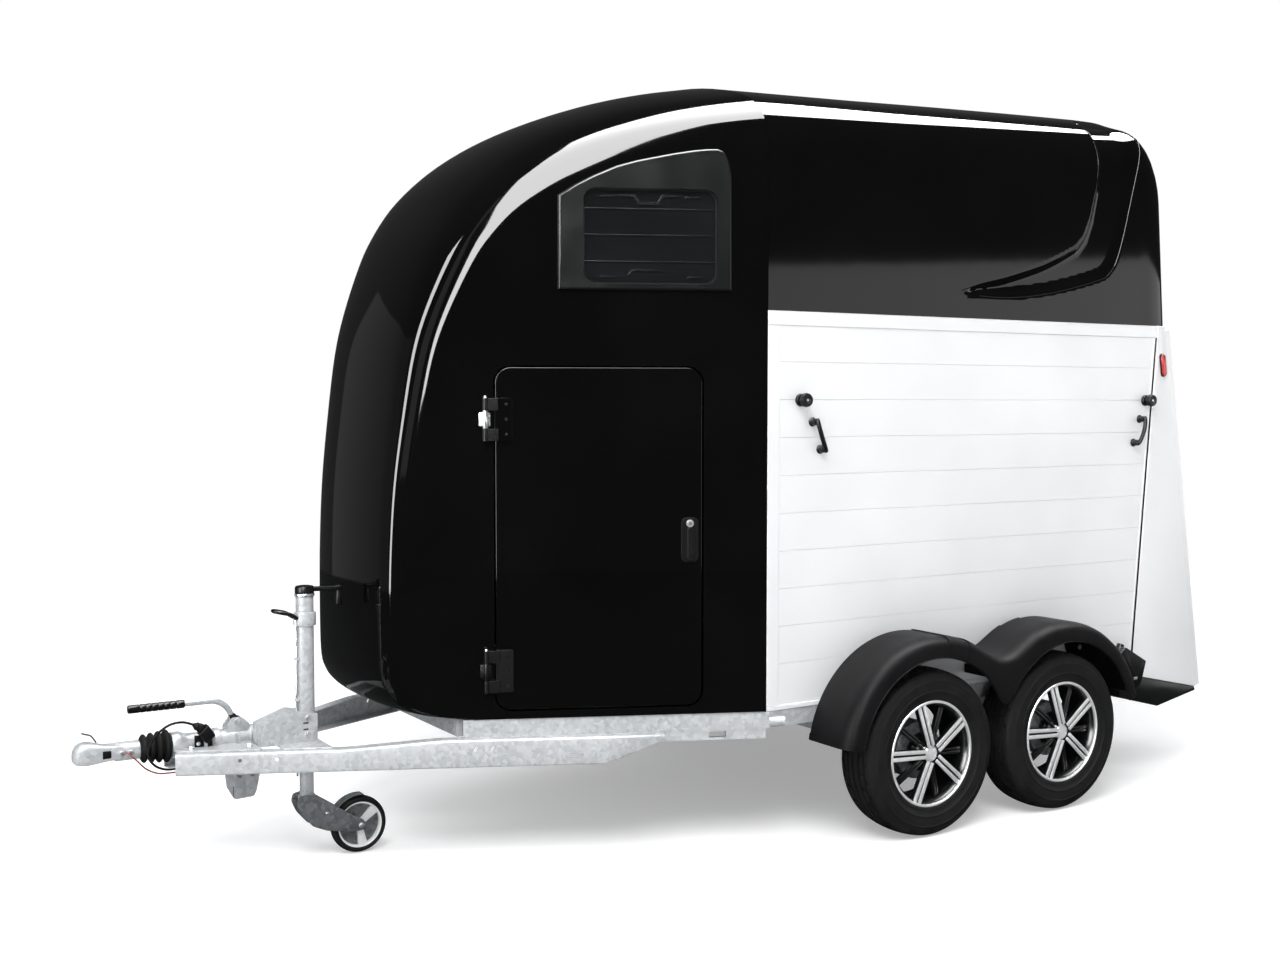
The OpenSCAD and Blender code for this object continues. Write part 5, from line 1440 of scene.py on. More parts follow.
def housingShape():
    bm = bmesh.new()
    front, ball, top = coupling["front"], coupling["ball"], coupling["top"]
    alongX = Matrix.Translation((0, 0, ball)) @ Matrix.Rotation(math.pi / 2, 4, "Y")
    tube = [(0.0255, -(front - 0.290)), (0.0400, front - 0.290), (0.0400, front - 0.268), (0.0375, front - 0.264),
            (0.0345, front - 0.258)]
    profile = [(0.0254, 2.165), (0.0380, 2.165), (0.0400, 2.167), (0.0400, 2.187), (0.0380, 2.189),
               (0.0345, 2.192), (0.0342, 2.286), (0.0415, 2.290), (0.0420, 2.293), (0.0420, 2.307),
               (0.0405, 2.310), (0.0345, 2.314), (0.0340, 2.385), (0.0350, 2.398), (0.0385, 2.412),
               (0.0425, 2.420), (0.0440, 2.424), (0.0440, 2.447), (0.0425, 2.4505), (0.0254, 2.4505)]
    join(bm, turned(profile, 64), 0, alongX)
    outline = [(2.450, -0.060), (2.450, 0.060), (2.190, 0.180), (2.190, -0.180)]
    deck = plate(outline, 0, 0.006, 0.012, 0.0012, 2, 5)  # stands in XZ, so it is laid down
    bmesh.ops.transform(deck, matrix=Matrix.Translation((0, 0, top)) @ Matrix(((1, 0, 0, 0), (0, 0, 1, 0),
                        (0, 1, 0, 0), (0, 0, 0, 1))), verts=deck.verts)
    bmesh.ops.recalc_face_normals(deck, faces=deck.faces)
    join(bm, deck, 0)
    saddle = [Vector((x, y, z)) for x, y, z in ((0, 0, 0),)]
    for y in (-1, 1):  # gussets from the deck up to the tube
        for x in (2.235, 2.345):
            rib = plate([(x - 0.004, top + 0.004), (x + 0.004, top + 0.004), (x + 0.004, ball + 0.022),
                         (x - 0.004, ball + 0.022)], 0.022, 0.060, 0, 0.001)
            if y < 0:
                mirrorToRight(rib)
            join(bm, rib, 0)
        for x in (2.215, 2.395):
            join(bm, hexBolt((x, y * (0.042 + (2.45 - x) * 0.30), top + 0.006), (0, 0, 1)), 1)
    blade = [(2.140, 0.330), (2.270, 0.330), (2.262, 0.260), (2.243, 0.226), (2.236, 0.215), (2.170, 0.218),
             (2.160, 0.236)]
    join(bm, plate(blade, -0.006, 0.006, 0.006, 0.0012), 0)
    join(bm, plate([(2.236, 0.222), (2.242, 0.222), (2.242, 0.262), (2.236, 0.262)], 0.0058, 0.0066, 0, 0), 2)
    for x, z in ((2.176, 0.300), (2.222, 0.300)):
        join(bm, hexBolt((x, 0.006, z), (0, 1, 0)), 1)
    for y0, y1 in ((-0.009, -0.004), (0.004, 0.009)):
        join(bm, plate([(2.200, 0.222), (2.240, 0.222), (2.240, 0.412), (2.200, 0.412)], y0, y1, 0.006, 0.0008), 0)
    ear = [(2.186, 0.440), (2.186, 0.478), (2.214, 0.504), (2.246, 0.504), (2.268, 0.474), (2.268, 0.440)]
    for y0, y1 in ((-0.024, -0.016), (0.016, 0.024)):
        join(bm, plate(ear, y0, y1, 0.006, 0.001), 0)
    bx, bz = coupling["brake"]
    join(bm, rod((bx, -0.026, bz), (bx, 0.026, bz), 0.0068, edge=0.0008), 1)
    for sign in (-1, 1):
        join(bm, rod((bx, sign * 0.024, bz), (bx, sign * 0.0275, bz), 0.0105, edge=0.001), 1)
    return bm


def bellowsShape():
    bm = bmesh.new()
    back, front, folds = 2.453, 2.5517, 4
    pitch = (front - back) / folds
    profile = [(0.0258, back)]
    for i in range(folds):
        shrink = i * 0.0025
        for radius, share in ((0.041, 0.04), (0.046, 0.14), (0.0515, 0.27), (0.0545, 0.40), (0.0552, 0.50),
                              (0.0545, 0.60), (0.0515, 0.73), (0.046, 0.86), (0.041, 0.96)):
            profile.append((radius - shrink, back + (i + share) * pitch))
    profile += [(0.0335, front - 0.0006), (0.0258, front)]
    alongX = Matrix.Translation((0, 0, coupling["ball"])) @ Matrix.Rotation(math.pi / 2, 4, "Y")
    join(bm, turned(profile, 72), 0, alongX)
    return bm


def headShape():
    bm = bmesh.new()
    ball, head = coupling["ball"], coupling["head"]
    alongX = Matrix.Translation((0, 0, ball)) @ Matrix.Rotation(math.pi / 2, 4, "Y")
    # draw shaft, clamp collar and pressed body that widens into the ball cup
    shaft = [(0.0, 2.400), (0.0250, 2.400), (0.0250, 2.552), (0.0290, 2.5525), (0.0312, 2.555), (0.0312, 2.628),
             (0.0290, 2.632), (0.0, 2.632)]
    join(bm, turned(shaft, 48, False), 0, alongX)
    rings = []
    for x, half, low, high, round_ in ((2.612, 0.0300, -0.0215, 0.0265, 0.012), (2.640, 0.0300, -0.022, 0.0270, 0.012),
                                       (2.668, 0.0315, -0.0235, 0.0285, 0.014), (2.694, 0.0350, -0.0262, 0.0360, 0.020),
                                       (2.712, 0.0372, -0.0275, 0.0410, 0.024), (2.727, 0.0380, -0.0280, 0.0430, 0.026),
                                       (2.741, 0.0355, -0.0275, 0.0405, 0.024), (2.752, 0.0300, -0.0260, 0.0340, 0.020),
                                       (2.760, 0.0215, -0.0235, 0.0240, 0.014), (2.7646, 0.0120, -0.0160, 0.0120, 0.008)):
        ring = []
        for cy, cz, start in ((half - round_, high - round_, 0), (-half + round_, high - round_, 90),
                              (-half + 0.006, low + 0.006, 180), (half - 0.006, low + 0.006, 270)):
            bend = round_ if start < 180 else 0.006
            ring += [Vector((x, cy + bend * math.cos(math.radians(start + a)), ball + cz + bend * math.sin(math.radians(start + a))))
                     for a in (0, 22.5, 45, 67.5, 90)]
        rings.append(ring + [ring[0]])
    body = bmesh.new()
    bridged(body, rings)
    bmesh.ops.remove_doubles(body, verts=body.verts, dist=1e-5)
    bmesh.ops.holes_fill(body, edges=[e for e in body.edges if e.is_boundary], sides=0)
    bmesh.ops.recalc_face_normals(body, faces=body.faces)
    join(bm, body, 0)
    # lifted handle over the head, with a finger grip and its safety catch
    handle = [(2.665, 0.452), (2.631, 0.452), (2.627, 0.506), (2.549, 0.526), (2.543, 0.534), (2.549, 0.540),
              (2.661, 0.514), (2.681, 0.496), (2.677, 0.488)]
    join(bm, plate(handle, -0.0138, 0.0138, 0.004, 0.0035, 3), 0)
    join(bm, plate([(2.640, 0.470), (2.634, 0.502), (2.560, 0.5215), (2.5565, 0.5195), (2.622, 0.500)], 0.0134, 0.0146, 0,
                   0.0004), 1)
    catch = smoothPath([(2.690, 0, 0.470), (2.705, 0, 0.492), (2.722, 0, 0.499), (2.733, 0, 0.503)], 6)
    join(bm, swept([(a * 1.7, b * 0.45) for a, b in circle(0.0055, 12)], catch), 1)
    for x in (2.585, 2.612):
        for sign in (-1, 1):
            join(bm, hexBolt((x, sign * 0.029, ball), (0, sign, 0), 0.014, 0.009), 2)
    plain = plate([(2.648, ball - 0.012), (2.696, ball - 0.014), (2.696, ball + 0.014), (2.648, ball + 0.012)],
                  0.0300, 0.0325, 0.003, 0.0008)
    join(bm, plain, 1)
    return bm


def cupCutter():
    bm = bmesh.new()
    head, ball = coupling["head"], coupling["ball"]
    bmesh.ops.create_uvsphere(bm, u_segments=48, v_segments=24, radius=0.0255)
    bmesh.ops.translate(bm, vec=(head, 0, ball + 0.003), verts=bm.verts)
    return [bm, rod((head, 0, ball - 0.05), (head, 0, ball + 0.003), 0.02545, steps=48)]


def brakeLever():
    bm = bmesh.new()
    x, z = coupling["brake"]
    join(bm, rod((x, -0.010, z), (x, 0.010, z), 0.017, edge=0.0015), 0)
    join(bm, plate([(x - 0.011, z), (x + 0.013, z - 0.008), (x + 0.024, z + 0.022), (x + 0.002, z + 0.026)], -0.010, 0.010,
                   0.002, 0.0015), 0)
    arc = [(x + 0.088 - 0.076 * math.cos(math.radians(a)), 0, z + 0.076 * math.sin(math.radians(a)))
           for a in range(0, 91, 6)]
    arc += [(x + 0.100, 0, z + 0.0762), (x + 0.185, 0, z + 0.076)]
    join(bm, swept(circle(0.0098, 24), arc), 1)
    alongX = Matrix.Translation((x, 0, z + 0.076)) @ Matrix.Rotation(math.pi / 2, 4, "Y")
    grip = [(0.0, 0.172), (0.0118, 0.172), (0.0136, 0.1745), (0.0140, 0.180)]
    for i in range(7):
        at = 0.196 + i * 0.020
        grip += [(0.0140, at), (0.0126, at + 0.002), (0.0126, at + 0.004), (0.0140, at + 0.006)]
    grip += [(0.0140, 0.352), (0.0128, 0.3565), (0.0, 0.358)]
    join(bm, turned(grip, 40, False), 0, alongX)
    return bm


addPiece("overrun_housing_cast", housingShape(), [castZinc, plated, matRubber],
         stands=["overrun_housing"])
addPiece("bellows_folds", bellowsShape(), [bellowsRubber], stands=["bellows"], angle=60)
headPiece = addPiece("coupling_head_pressed", headShape(), [castZinc, handlePlastic, plated],
                     stands=["coupling_head"])
cutOut(headPiece, [cutter(c) for c in cupCutter()])
addPiece("handbrake_tube_and_grip", brakeLever(), [handlePlastic, castZinc], "handbrake",
         ["handbrake_lever"])
print("coupling made")


# Plug in its holder, and the two free cables

cords = {
    "exitBack": 0.0,
    "light": [(-0.068, 0.0545, 0.503), (-0.030, 0.058, 0.516), (0.015, 0.064, 0.512), (0.057, 0.070, 0.486),
              (0.083, 0.074, 0.448), (0.085, 0.076, 0.414), (0.063, 0.076, 0.384), (0.027, 0.066, 0.366),
              (-0.013, 0.058, 0.362), (-0.055, 0.062, 0.362)],
    "breakaway": [(0.151, 0.0327, 0.434), (0.141, 0.046, 0.428), (0.121, 0.062, 0.408), (0.093, 0.074, 0.378),
                  (0.055, 0.072, 0.358), (0.015, 0.062, 0.352), (-0.035, 0.062, 0.351)],
}


def cordPath(route):
    return smoothPath([(drawbar["front"] + x, y, z) for x, y, z in route], 6)


def cordPiece(name, route, diameter, finish, node, tubeSteps):
    path = cordPath(route)
    bm = swept(circle(diameter / 2, tubeSteps), path)
    piece = addPiece(name, bm, [finish], stands=[node], angle=60)
    return piece


def plugHolder():
    bm = bmesh.new()
    front, top = drawbar["front"] - 0.105, 0.4213
    join(bm, block((front - 0.030, 0.0365, top), (front + 0.030, 0.0415, top + 0.040), 0.0015), 0)
    holder = [(front - 0.034, 0.461), (front - 0.002, 0.436), (front + 0.022, 0.470), (front - 0.008, 0.500)]
    join(bm, plate(holder, 0.0365, 0.0725, 0.004, 0.003, 3), 0)
    turn = Matrix.Translation((front + 0.022, 0.0545, 0.494)) @ Matrix.Rotation(math.radians(60), 4, "Y")
    plug = [(0, -0.017), (0.0140, -0.017), (0.0150, -0.014), (0.0150, -0.004), (0.0138, -0.002), (0.0138, 0.006),
            (0.0120, 0.0085), (0.0085, 0.013), (0.0072, 0.0170), (0, 0.0170)]
    join(bm, turned(plug, 36, False), 1, turn)
    for i in range(10):
        spin = Matrix.Rotation(math.radians(36 * i), 4, "Z")
        join(bm, block((0.0143, -0.0012, -0.013), (0.0153, 0.0012, -0.005), 0.0004, 1), 1, turn @ spin)
    join(bm, hexBolt((front + 0.018, 0.0415, top + 0.012), (0, 1, 0), 0.010, 0.005), 2)
    return bm


addPiece("plug_and_holder", plugHolder(), [handlePlastic, bellowsRubber, plated],
         stands=["plug_holder"])
cordPiece("light_cable_run", cords["light"], 0.008, bellowsRubber, "light_cable", 14)
cordPiece("breakaway_cable_run", cords["breakaway"], 0.005, redSheath, "breakaway_cable", 12)
print("cables made")


# Jockey wheel

jockey = {
    "x": 2.020, "y": 0.120, "radius": 0.030, "trail": 0.185, "wheel": 0.100, "top": 0.415,
}


def jockeyTube():
    bm = bmesh.new()
    tube = [(0.0252, 0.330), (0.0294, 0.330), (0.0300, 0.3315), (0.0300, 0.818), (0.0370, 0.8195), (0.0380, 0.822),
            (0.0380, 0.860), (0.0365, 0.864), (0.0300, 0.8655), (0.0300, 0.9215), (0.0252, 0.9215)]
    join(bm, turned(tube, 56), 0)
    ring = [(0.0250, 0.9195), (0.0335, 0.9195), (0.0338, 0.9215), (0.0338, 0.9270), (0.0325, 0.9290), (0.0250, 0.9290)]
    join(bm, turned(ring, 56), 1)
    cap = [(0, 0.9280), (0.0322, 0.9280), (0.0326, 0.9300), (0.0326, 0.9480), (0.0300, 0.9535), (0.0200, 0.9558),
           (0, 0.9560)]
    join(bm, turned(cap, 56, False), 2)
    arm = [(-0.134, 0.936), (-0.108, 0.931), (-0.030, 0.934), (-0.030, 0.950), (-0.106, 0.947), (-0.130, 0.950)]
    join(bm, plate(arm, -0.010, 0.010, 0.005, 0.003, 3), 2)
    knob = [(0, 0.880), (0.0085, 0.880), (0.0125, 0.884), (0.0132, 0.892), (0.0120, 0.915), (0.0098, 0.932),
            (0, 0.932)]
    join(bm, turned(knob, 32, False), 2, Matrix.Translation((-0.122, 0, 0)))
    loop = [(0.034, -0.016, 0.846), (0.060, -0.024, 0.862), (0.094, -0.020, 0.871), (0.108, 0.0, 0.874),
            (0.094, 0.020, 0.871), (0.060, 0.024, 0.862), (0.034, 0.016, 0.846)]
    join(bm, softened(swept([(a * 1.2, b * 0.8) for a, b in circle(0.0085, 16)], smoothPath(loop, 8)), 0.001, 1, 60), 2)
    join(bm, rod((0.036, 0.012, 0.30), (0.036, 0.012, 0.842), 0.0035, steps=14, edge=0.0006), 1)
    for z in (0.560, 0.700):
        join(bm, block((0.027, 0.003, z), (0.040, 0.019, z + 0.010), 0.0012), 0)
    bmesh.ops.translate(bm, vec=(jockey["x"], jockey["y"], 0), verts=bm.verts)
    return bm


def jockeyClamp():
    bm = bmesh.new()
    x, y, top = jockey["x"], jockey["y"], jockey["top"]
    outline = [(x - 0.040, -0.280), (x + 0.110, -0.212), (x + 0.110, 0.212), (x - 0.040, 0.280)]
    deck = plate(outline, 0, 0.006, 0.004, 0.001)
    bmesh.ops.transform(deck, matrix=Matrix.Translation((0, 0, top)) @ Matrix(((1, 0, 0, 0), (0, 0, 1, 0),
                        (0, 1, 0, 0), (0, 0, 0, 1))), verts=deck.verts)
    bmesh.ops.recalc_face_normals(deck, faces=deck.faces)
    join(bm, deck, 0)
    side = [(x + 0.168, top + 0.005), (x + 0.168, 0.492), (x + 0.060, 0.530), (x - 0.030, 0.515), (x - 0.030, top + 0.005)]
    join(bm, plate(side, y - 0.058, y - 0.0535, 0.004, 0.001), 0)
    join(bm, plate(side, y + 0.0295, y + 0.034, 0.004, 0.001), 0)
    roof = [(x + 0.168, 0.4875), (x + 0.168, 0.492), (x + 0.060, 0.530), (x - 0.030, 0.515), (x - 0.030, 0.5105),
            (x + 0.060, 0.5252)]
    join(bm, plate(roof, y - 0.058, y + 0.034, 0, 0.001), 0)
    join(bm, block((x + 0.1635, y - 0.058, top + 0.005), (x + 0.168, y + 0.034, 0.491), 0.001), 0)
    join(bm, block((x + 0.0395, y - 0.058, top + 0.005), (x + 0.044, y + 0.034, 0.523), 0.001), 0)
    join(bm, block((x + 0.046, y - 0.062, top + 0.006), (x + 0.060, y + 0.038, 0.424), 0.001), 0)
    join(bm, block((x + 0.146, y - 0.062, top + 0.006), (x + 0.160, y + 0.038, 0.424), 0.001), 0)
    for dx, z in ((0.006, 0.505), (0.008, 0.446)):
        join(bm, hexBolt((x + dx, y + 0.034, z), (0, 1, 0), 0.013, 0.008), 1)
    for dx, z in ((0.012, 0.486), (0.012, 0.464)):
        join(bm, block((x + dx - 0.009, y + 0.0338, z - 0.003), (x + dx + 0.009, y + 0.0346, z + 0.003), 0.0005, 1), 2)
    collar = [(0.0304, 0.405), (0.0370, 0.405), (0.0375, 0.4065), (0.0375, 0.4145), (0.0304, 0.4145)]
    join(bm, turned(collar, 48), 1, Matrix.Translation((x, y, 0)))
    return bm


def clampHole():
    x, y = jockey["x"], jockey["y"]
    return rod((x, y, 0.30), (x, y, 0.60), jockey["radius"] + 0.0003, steps=48)


def jockeyPost():
    bm = bmesh.new()
    post = [(0, 0.2143), (0.0290, 0.2143), (0.0300, 0.2155), (0.0300, 0.2270), (0.0288, 0.2283), (0.0240, 0.2290),
            (0.0240, 0.6200), (0.0225, 0.6220), (0, 0.6220)]
    join(bm, turned(post, 48, False), 0)
    bmesh.ops.translate(bm, vec=(jockey["x"], jockey["y"], 0), verts=bm.verts)
    return bm


def jockeyFork():
    bm = bmesh.new()
    trail = jockey["trail"]
    outline = [(0.040, 0.231), (0.010, 0.236), (-0.030, 0.224), (-trail + 0.030, 0.140), (-trail - 0.006, 0.122),
               (-trail - 0.019, 0.104), (-trail - 0.014, 0.086), (-trail + 0.018, 0.081), (-0.060, 0.100),
               (-0.010, 0.122), (0.028, 0.166), (0.046, 0.205)]
    for y0, y1 in ((-0.034, -0.030), (0.030, 0.034)):
        join(bm, plate(outline, y0, y1, 0.008, 0.0012, 2, 4), 0)
    join(bm, block((-0.032, -0.0335, 0.208), (0.038, 0.0335, 0.214), 0.001), 0)
    join(bm, rod((-trail, -0.034, 0.1), (-trail, 0.034, 0.1), 0.008, edge=0.0006), 1)
    for sign in (-1, 1):
        join(bm, hexBolt((-trail, sign * 0.034, 0.1), (0, sign, 0), 0.015, 0.008), 1)
        join(bm, hexBolt((-0.060, sign * 0.034, 0.160), (0, sign, 0), 0.010, 0.005), 1)
    scraper = [(-trail + 0.106 * math.cos(math.radians(a)), 0, 0.1 + 0.106 * math.sin(math.radians(a)))
               for a in range(38, 100, 6)]
    join(bm, swept([(-0.022, 0), (0.022, 0), (0.022, 0.0018), (-0.022, 0.0018)], scraper), 0)
    join(bm, block((-trail + 0.082, -0.0335, 0.152), (-trail + 0.088, 0.0335, 0.172), 0.001), 0)
    bmesh.ops.translate(bm, vec=(jockey["x"], jockey["y"], 0), verts=bm.verts)
    return bm


def jockeyWheel():
    bm = bmesh.new()
    at = Matrix.Translation((jockey["x"] - jockey["trail"], jockey["y"], 0.1)) @ Matrix.Rotation(-math.pi / 2, 4, "X")
    rubber = [(0.0770, -0.0165), (0.0800, -0.0200), (0.0880, -0.0236), (0.0930, -0.0222), (0.0965, -0.0180),
              (0.0990, -0.0110), (0.1000, 0.0), (0.0990, 0.0110), (0.0965, 0.0180), (0.0930, 0.0222),
              (0.0880, 0.0236), (0.0800, 0.0200), (0.0770, 0.0165)]
    join(bm, turned(rubber, 64), 1, at)
    rimRing = [(0.0775, -0.0195), (0.0805, -0.0205), (0.0815, -0.0190), (0.0780, -0.0150), (0.0780, 0.0150),
               (0.0815, 0.0190), (0.0805, 0.0205), (0.0775, 0.0195), (0.0740, 0.0150), (0.0735, 0.0), (0.0740, -0.0150)]
    join(bm, turned(rimRing, 64), 0, at)
    hub = [(0.0086, -0.0290), (0.0150, -0.0290), (0.0170, -0.0270), (0.0180, -0.0120), (0.0180, 0.0120),
           (0.0170, 0.0270), (0.0150, 0.0290), (0.0086, 0.0290)]
    join(bm, turned(hub, 40), 2, at)
    web = [(0.0175, -0.0030), (0.0740, -0.0030), (0.0740, 0.0030), (0.0175, 0.0030)]
    disc = turned(web, 64)
    join(bm, disc, 2, at)
    for i in range(3):  # three broad spokes on both faces of the web
        turn = Matrix.Rotation(math.radians(100 + 120 * i), 4, "Z")
        for face in (-1, 1):
            spoke = [(0.0150, -0.0105), (0.0745, -0.0170), (0.0745, 0.0170), (0.0150, 0.0105)]
            low, high = (0.0025, 0.0140) if face > 0 else (-0.0140, -0.0025)
            shape = plate(spoke, low, high, 0, 0.0015)
            swap = Matrix(((1, 0, 0, 0), (0, 0, 1, 0), (0, 1, 0, 0), (0, 0, 0, 1)))
            bmesh.ops.transform(shape, matrix=swap, verts=shape.verts)
            bmesh.ops.recalc_face_normals(shape, faces=shape.faces)
            join(bm, shape, 0, at @ turn)
    return bm


addPiece("jockey_outer_tube", jockeyTube(), [zinc, plated, handlePlastic],
         stands=["jockey_tube"])
clampPiece = addPiece("jockey_clamp_folded", jockeyClamp(), [zinc, plated, matRubber],
                      stands=["jockey_clamp"])
cutOut(clampPiece, [cutter(clampHole())], 24, True)
addPiece("jockey_inner_tube", jockeyPost(), [zinc], "jockey_post", ["jockey_post"])
addPiece("jockey_fork_pressed", jockeyFork(), [darkZinc, plated], "jockey_fork", ["jockey_fork"])
addPiece("jockey_wheel_and_tyre", jockeyWheel(), [paleRim, tyreRubber, darkZinc], "jockey_wheel",
         ["jockey_tyre"])
print("jockey wheel made")


# Inside: padded partition, breast and breech bars, rear blind

divider = {
    "pad": (-1.236, 0.424, 0.764, 1.556), "half": 0.017, "roll": 0.004, "channels": 5,
    "posts": (-1.245, 0.455), "bar": 1.591, "bars": (0.467, -1.350), "barRadius": 0.022,
}


def padShape():  # two stitched faces, filled: full in the channels and drawn in at the seams
    left, right, low, high = divider["pad"]
    face = bmesh.new()
    bmesh.ops.create_grid(face, x_segments=80, y_segments=36, size=0.5)
    for vert in face.verts:
        u, v = vert.co.x + 0.5, vert.co.y + 0.5
        rise = 1 - max(abs(2 * u - 1) ** 26, abs(2 * v - 1) ** 14)
        channel = abs(math.sin(math.pi * divider["channels"] * u)) ** 0.6
        vert.co = (left + u * (right - left), (divider["half"] + divider["roll"] * channel) * rise ** 0.5,
                   low + v * (high - low))
    bmesh.ops.recalc_face_normals(face, faces=face.faces)
    other = face.copy()
    join(face, mirrorToRight(other), None)
    bmesh.ops.remove_doubles(face, verts=face.verts, dist=0.0004)
    bmesh.ops.recalc_face_normals(face, faces=face.faces)
    return face


def dividerFrame():
    bm = bmesh.new()
    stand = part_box("floor_board")[1].z + 0.0006
    top = divider["bar"]
    for x in divider["posts"]:
        join(bm, block((x - 0.025, -0.025, stand), (x + 0.025, 0.025, top), 0.006, 3))
        join(bm, block((x - 0.045, -0.045, stand), (x + 0.045, 0.045, stand + 0.005), 0.001))
    front, rear = divider["bars"]
    join(bm, block((rear - 0.025, -0.025, top - 0.025), (front + 0.025, 0.025, top + 0.025), 0.012, 4))
    return bm


def crossBars():  # foam sleeves over the breast and breech bars, with their steel ends
    bm = bmesh.new()
    radius, end = divider["barRadius"], halfWidth - walls["thickness"] - 0.0006
    for x in divider["bars"]:
        join(bm, rod((x, 0.026, divider["bar"]), (x, end, divider["bar"]), 0.014, 0.014, 32), 1)
        join(bm, rod((x, 0.060, divider["bar"]), (x, end - 0.05, divider["bar"]), radius, radius, 40, 0.006), 0)
    return bm


pad = addPiece("partition_pad", padShape(), [vinyl], stands=["partition"])
addPiece("partition_frame", dividerFrame(), [zinc])
sleeves = addPiece("partition_bars", paired(crossBars), [vinyl, zinc])


def blindShape():  # hung from its rail under the roof, with a slight wave and a hem
    low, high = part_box("rear_blind")
    x, wide, tall = (low.x + high.x) / 2 - axleX, high.y - low.y - 0.004, high.z - low.z - 0.003
    bm = bmesh.new()
    bmesh.ops.create_grid(bm, x_segments=96, y_segments=24, size=0.5)
    for vert in bm.verts:
        u, v = vert.co.x, 0.5 - vert.co.y
        sway = 0.0014 * math.sin(u * 31) + 0.0008 * math.sin(u * 67 + 1)
        vert.co = (x + sway * v, u * wide, (low.z + high.z) / 2 + vert.co.y * tall)
    bmesh.ops.solidify(bm, geom=bm.faces[:], thickness=0.0016)
    foot = low.z + 0.005
    join(bm, rod((x, -wide / 2, foot), (x, wide / 2, foot), 0.0035, 0.0035, 16))
    bmesh.ops.recalc_face_normals(bm, faces=bm.faces)
    return bm


blind = addPiece("rear_blind_cloth", blindShape(), [blindCloth],
                 stands=["rear_blind"])
print("inside made")


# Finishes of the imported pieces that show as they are
remaining = {
    "chassis_frame": zinc, "front_axle": zinc, "rear_axle": zinc, "brake_rod": zinc, "floor_board": matRubber,
}


# Floor, light and camera

studio = {
    "floorRadius": 9.5, "floorColour": "#f4f4f4", "floorLift": 0.32,
    "ambient": 0.72,
    "keyPlace": (3.5, 4.5, 6.5), "keyPower": 520, "keySize": 4.0,
    "fillPlace": (6.5, -1.0, 3.5), "fillPower": 90, "fillSize": 3.0,
    "skyStrength": 28.0, "dim": 0.06,
    "strips": [(4, 27, -0.62, 0.5, 24.0), (40, 44, 0.0, 0.6, 0.6), (-75, -12, -0.2, 0.3, 0.12),
               (95, 172, -0.6, 0.092, 1.6)],      # degrees round, sines of the heights, strength
}


def calc(tree, operation, *values):
    return addNode(tree, "ShaderNodeMath", {"operation": operation},
                   **{f"i{n}": value for n, value in enumerate(values)}), "Value"


def between(tree, value, low, high):
    return calc(tree, "COMPARE", value, (low + high) / 2, (high - low) / 2)


def makeWorld():  # mirrored rays see a dark studio with a long ceiling light and upright strips
    world = bpy.data.worlds.new("studio")
    scene.world = world
    world.use_nodes = True
    tree = world.node_tree
    tree.nodes.clear()
    path = addNode(tree, "ShaderNodeLightPath")
    place = addNode(tree, "ShaderNodeTexCoord")
    parts = addNode(tree, "ShaderNodeSeparateXYZ", Vector=(place, "Generated"))
    up = calc(tree, "MAXIMUM", (parts, "Z"), 0.02)
    along = calc(tree, "DIVIDE", (parts, "X"), up)
    across = calc(tree, "DIVIDE", (parts, "Y"), up)
    ahead = calc(tree, "MAXIMUM", calc(tree, "SUBTRACT", along, 0.2), 0)
    behind = calc(tree, "MAXIMUM", calc(tree, "SUBTRACT", -0.8, along), 0)
    near = calc(tree, "ADD", calc(tree, "MULTIPLY_ADD", along, 0.62, 0.617), ahead)
    far = calc(tree, "ADD", calc(tree, "MULTIPLY_ADD", along, 0.40, -0.203), ahead)
    far = calc(tree, "MULTIPLY_ADD", behind, 1.5, far)
    inside = calc(tree, "MULTIPLY", calc(tree, "GREATER_THAN", across, far),
                  calc(tree, "LESS_THAN", across, near))
    inside = calc(tree, "MULTIPLY", inside, calc(tree, "GREATER_THAN", (parts, "Z"), 0.03))
    total = calc(tree, "MULTIPLY_ADD", inside, studio["skyStrength"], studio["dim"])
    turn = calc(tree, "ARCTAN2", (parts, "Y"), (parts, "X"))
    for fromTurn, toTurn, fromHeight, toHeight, strength in studio["strips"]:
        turned = between(tree, turn, math.radians(fromTurn), math.radians(toTurn))
        level = between(tree, (parts, "Z"), fromHeight, toHeight)
        total = calc(tree, "MULTIPLY_ADD", calc(tree, "MULTIPLY", turned, level), strength, total)
    mirrored = addNode(tree, "ShaderNodeBackground", Color=(1, 1, 1, 1), Strength=total)
    plain = addNode(tree, "ShaderNodeBackground", Color=hexColour("#fbfcff"), Strength=studio["ambient"])
    white = addNode(tree, "ShaderNodeBackground", Color=(1, 1, 1, 1), Strength=1.0)
    seen = calc(tree, "MAXIMUM", (path, "Is Camera Ray"), (path, "Is Transmission Ray"))
    first = addNode(tree, "ShaderNodeMixShader", Fac=(path, "Is Glossy Ray"), i1=(plain, "Background"),
                    i2=(mirrored, "Background"))
    second = addNode(tree, "ShaderNodeMixShader", Fac=seen, i1=(first, "Shader"), i2=(white, "Background"))
    addNode(tree, "ShaderNodeOutputWorld", Surface=(second, "Shader"))


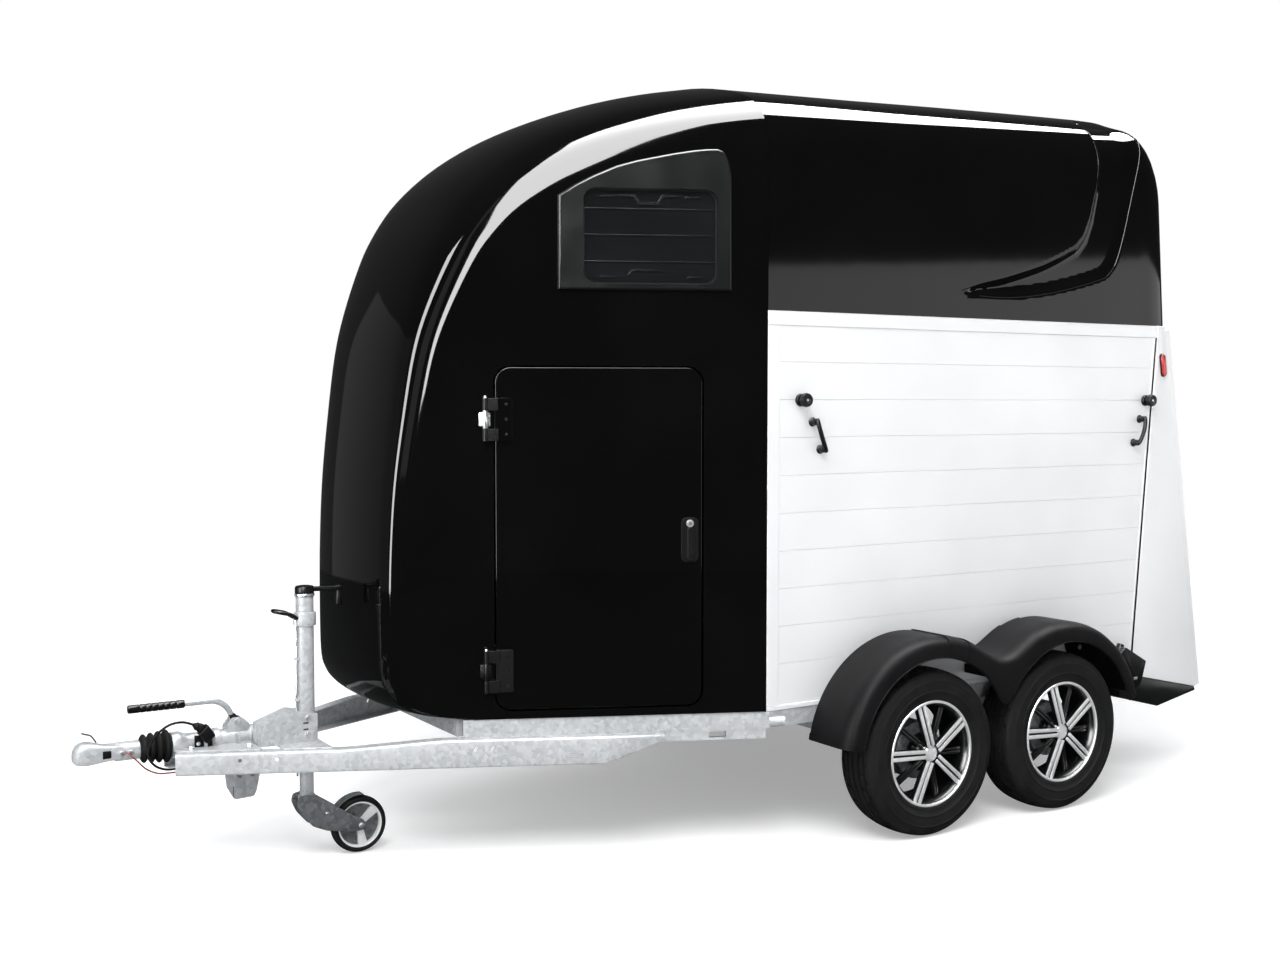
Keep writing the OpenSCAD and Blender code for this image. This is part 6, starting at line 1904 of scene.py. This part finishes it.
def paintedFloor():  # seamless white studio floor; lifted for the camera only, so that it ends in white
    finish, tree, shader = newFinish("seamlessFloor")
    place = addNode(tree, "ShaderNodeTexCoord")
    cloud = addNode(tree, "ShaderNodeTexNoise", Vector=(place, "Object"), Scale=0.4, Detail=1.0)
    tone = grade(tree, cloud, "Fac", [(0.3, "#f3f3f3"), (0.7, studio["floorColour"])])
    connect(tree, tone, "Color", shader, "Base Color")
    shader.inputs["Roughness"].default_value = 0.9
    shader.inputs["Specular IOR Level"].default_value = 0.0
    path = addNode(tree, "ShaderNodeLightPath")
    glow = addNode(tree, "ShaderNodeMath", {"operation": "MULTIPLY"}, i0=(path, "Is Camera Ray"),
                   i1=studio["floorLift"])
    shader.inputs["Emission Color"].default_value = (1, 1, 1, 1)
    connect(tree, glow, "Value", shader, "Emission Strength")
    dim = addNode(tree, "ShaderNodeBsdfDiffuse", Color=hexColour("#3a3b3b"))
    mixed = addNode(tree, "ShaderNodeMixShader", Fac=(path, "Is Glossy Ray"), i1=(shader, "BSDF"),
                    i2=(dim, "BSDF"))
    tree.links.new(mixed.outputs["Shader"], tree.nodes["Material Output"].inputs["Surface"])
    return finish


def areaLamp(name, place, power, size, target=(0, 0, 0.8)):
    data = bpy.data.lights.new(name, "AREA")
    data.energy = power
    data.size = size
    lamp = bpy.data.objects.new(name, data)
    lamp.location = place
    lamp.rotation_euler = (Vector(target) - Vector(place)).to_track_quat("-Z", "Y").to_euler()
    lamp.visible_glossy = False
    scene.collection.objects.link(lamp)


makeWorld()
ground = bmesh.new()
bmesh.ops.create_circle(ground, cap_ends=True, segments=96, radius=studio["floorRadius"])
floorMesh = bpy.data.meshes.new("floor")
ground.to_mesh(floorMesh)
ground.free()
floor = bpy.data.objects.new("floor", floorMesh)
floorMesh.materials.append(paintedFloor())
scene.collection.objects.link(floor)
areaLamp("key", studio["keyPlace"], studio["keyPower"], studio["keySize"])
areaLamp("fill", studio["fillPlace"], studio["fillPower"], studio["fillSize"])

camera = {
    "place": (3.1775, 4.996, 1.583), "ahead": (-0.5266, -0.8485, -0.0527), "lens": 41.37,
}
lensData = bpy.data.cameras.new("camera")
lensData.lens = camera["lens"]
lensData.sensor_width = 36
lensData.sensor_fit = "HORIZONTAL"
view = bpy.data.objects.new("camera", lensData)
view.location = camera["place"]
view.rotation_euler = Vector(camera["ahead"]).to_track_quat("-Z", "Y").to_euler()
scene.collection.objects.link(view)
scene.camera = view
scene.view_settings.view_transform = "Standard"

for name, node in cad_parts.items():
    if not node.hide_render:
        finish = remaining.get(name)
        if finish:
            for slot in node.material_slots:
                slot.material = finish
print("scene ready")
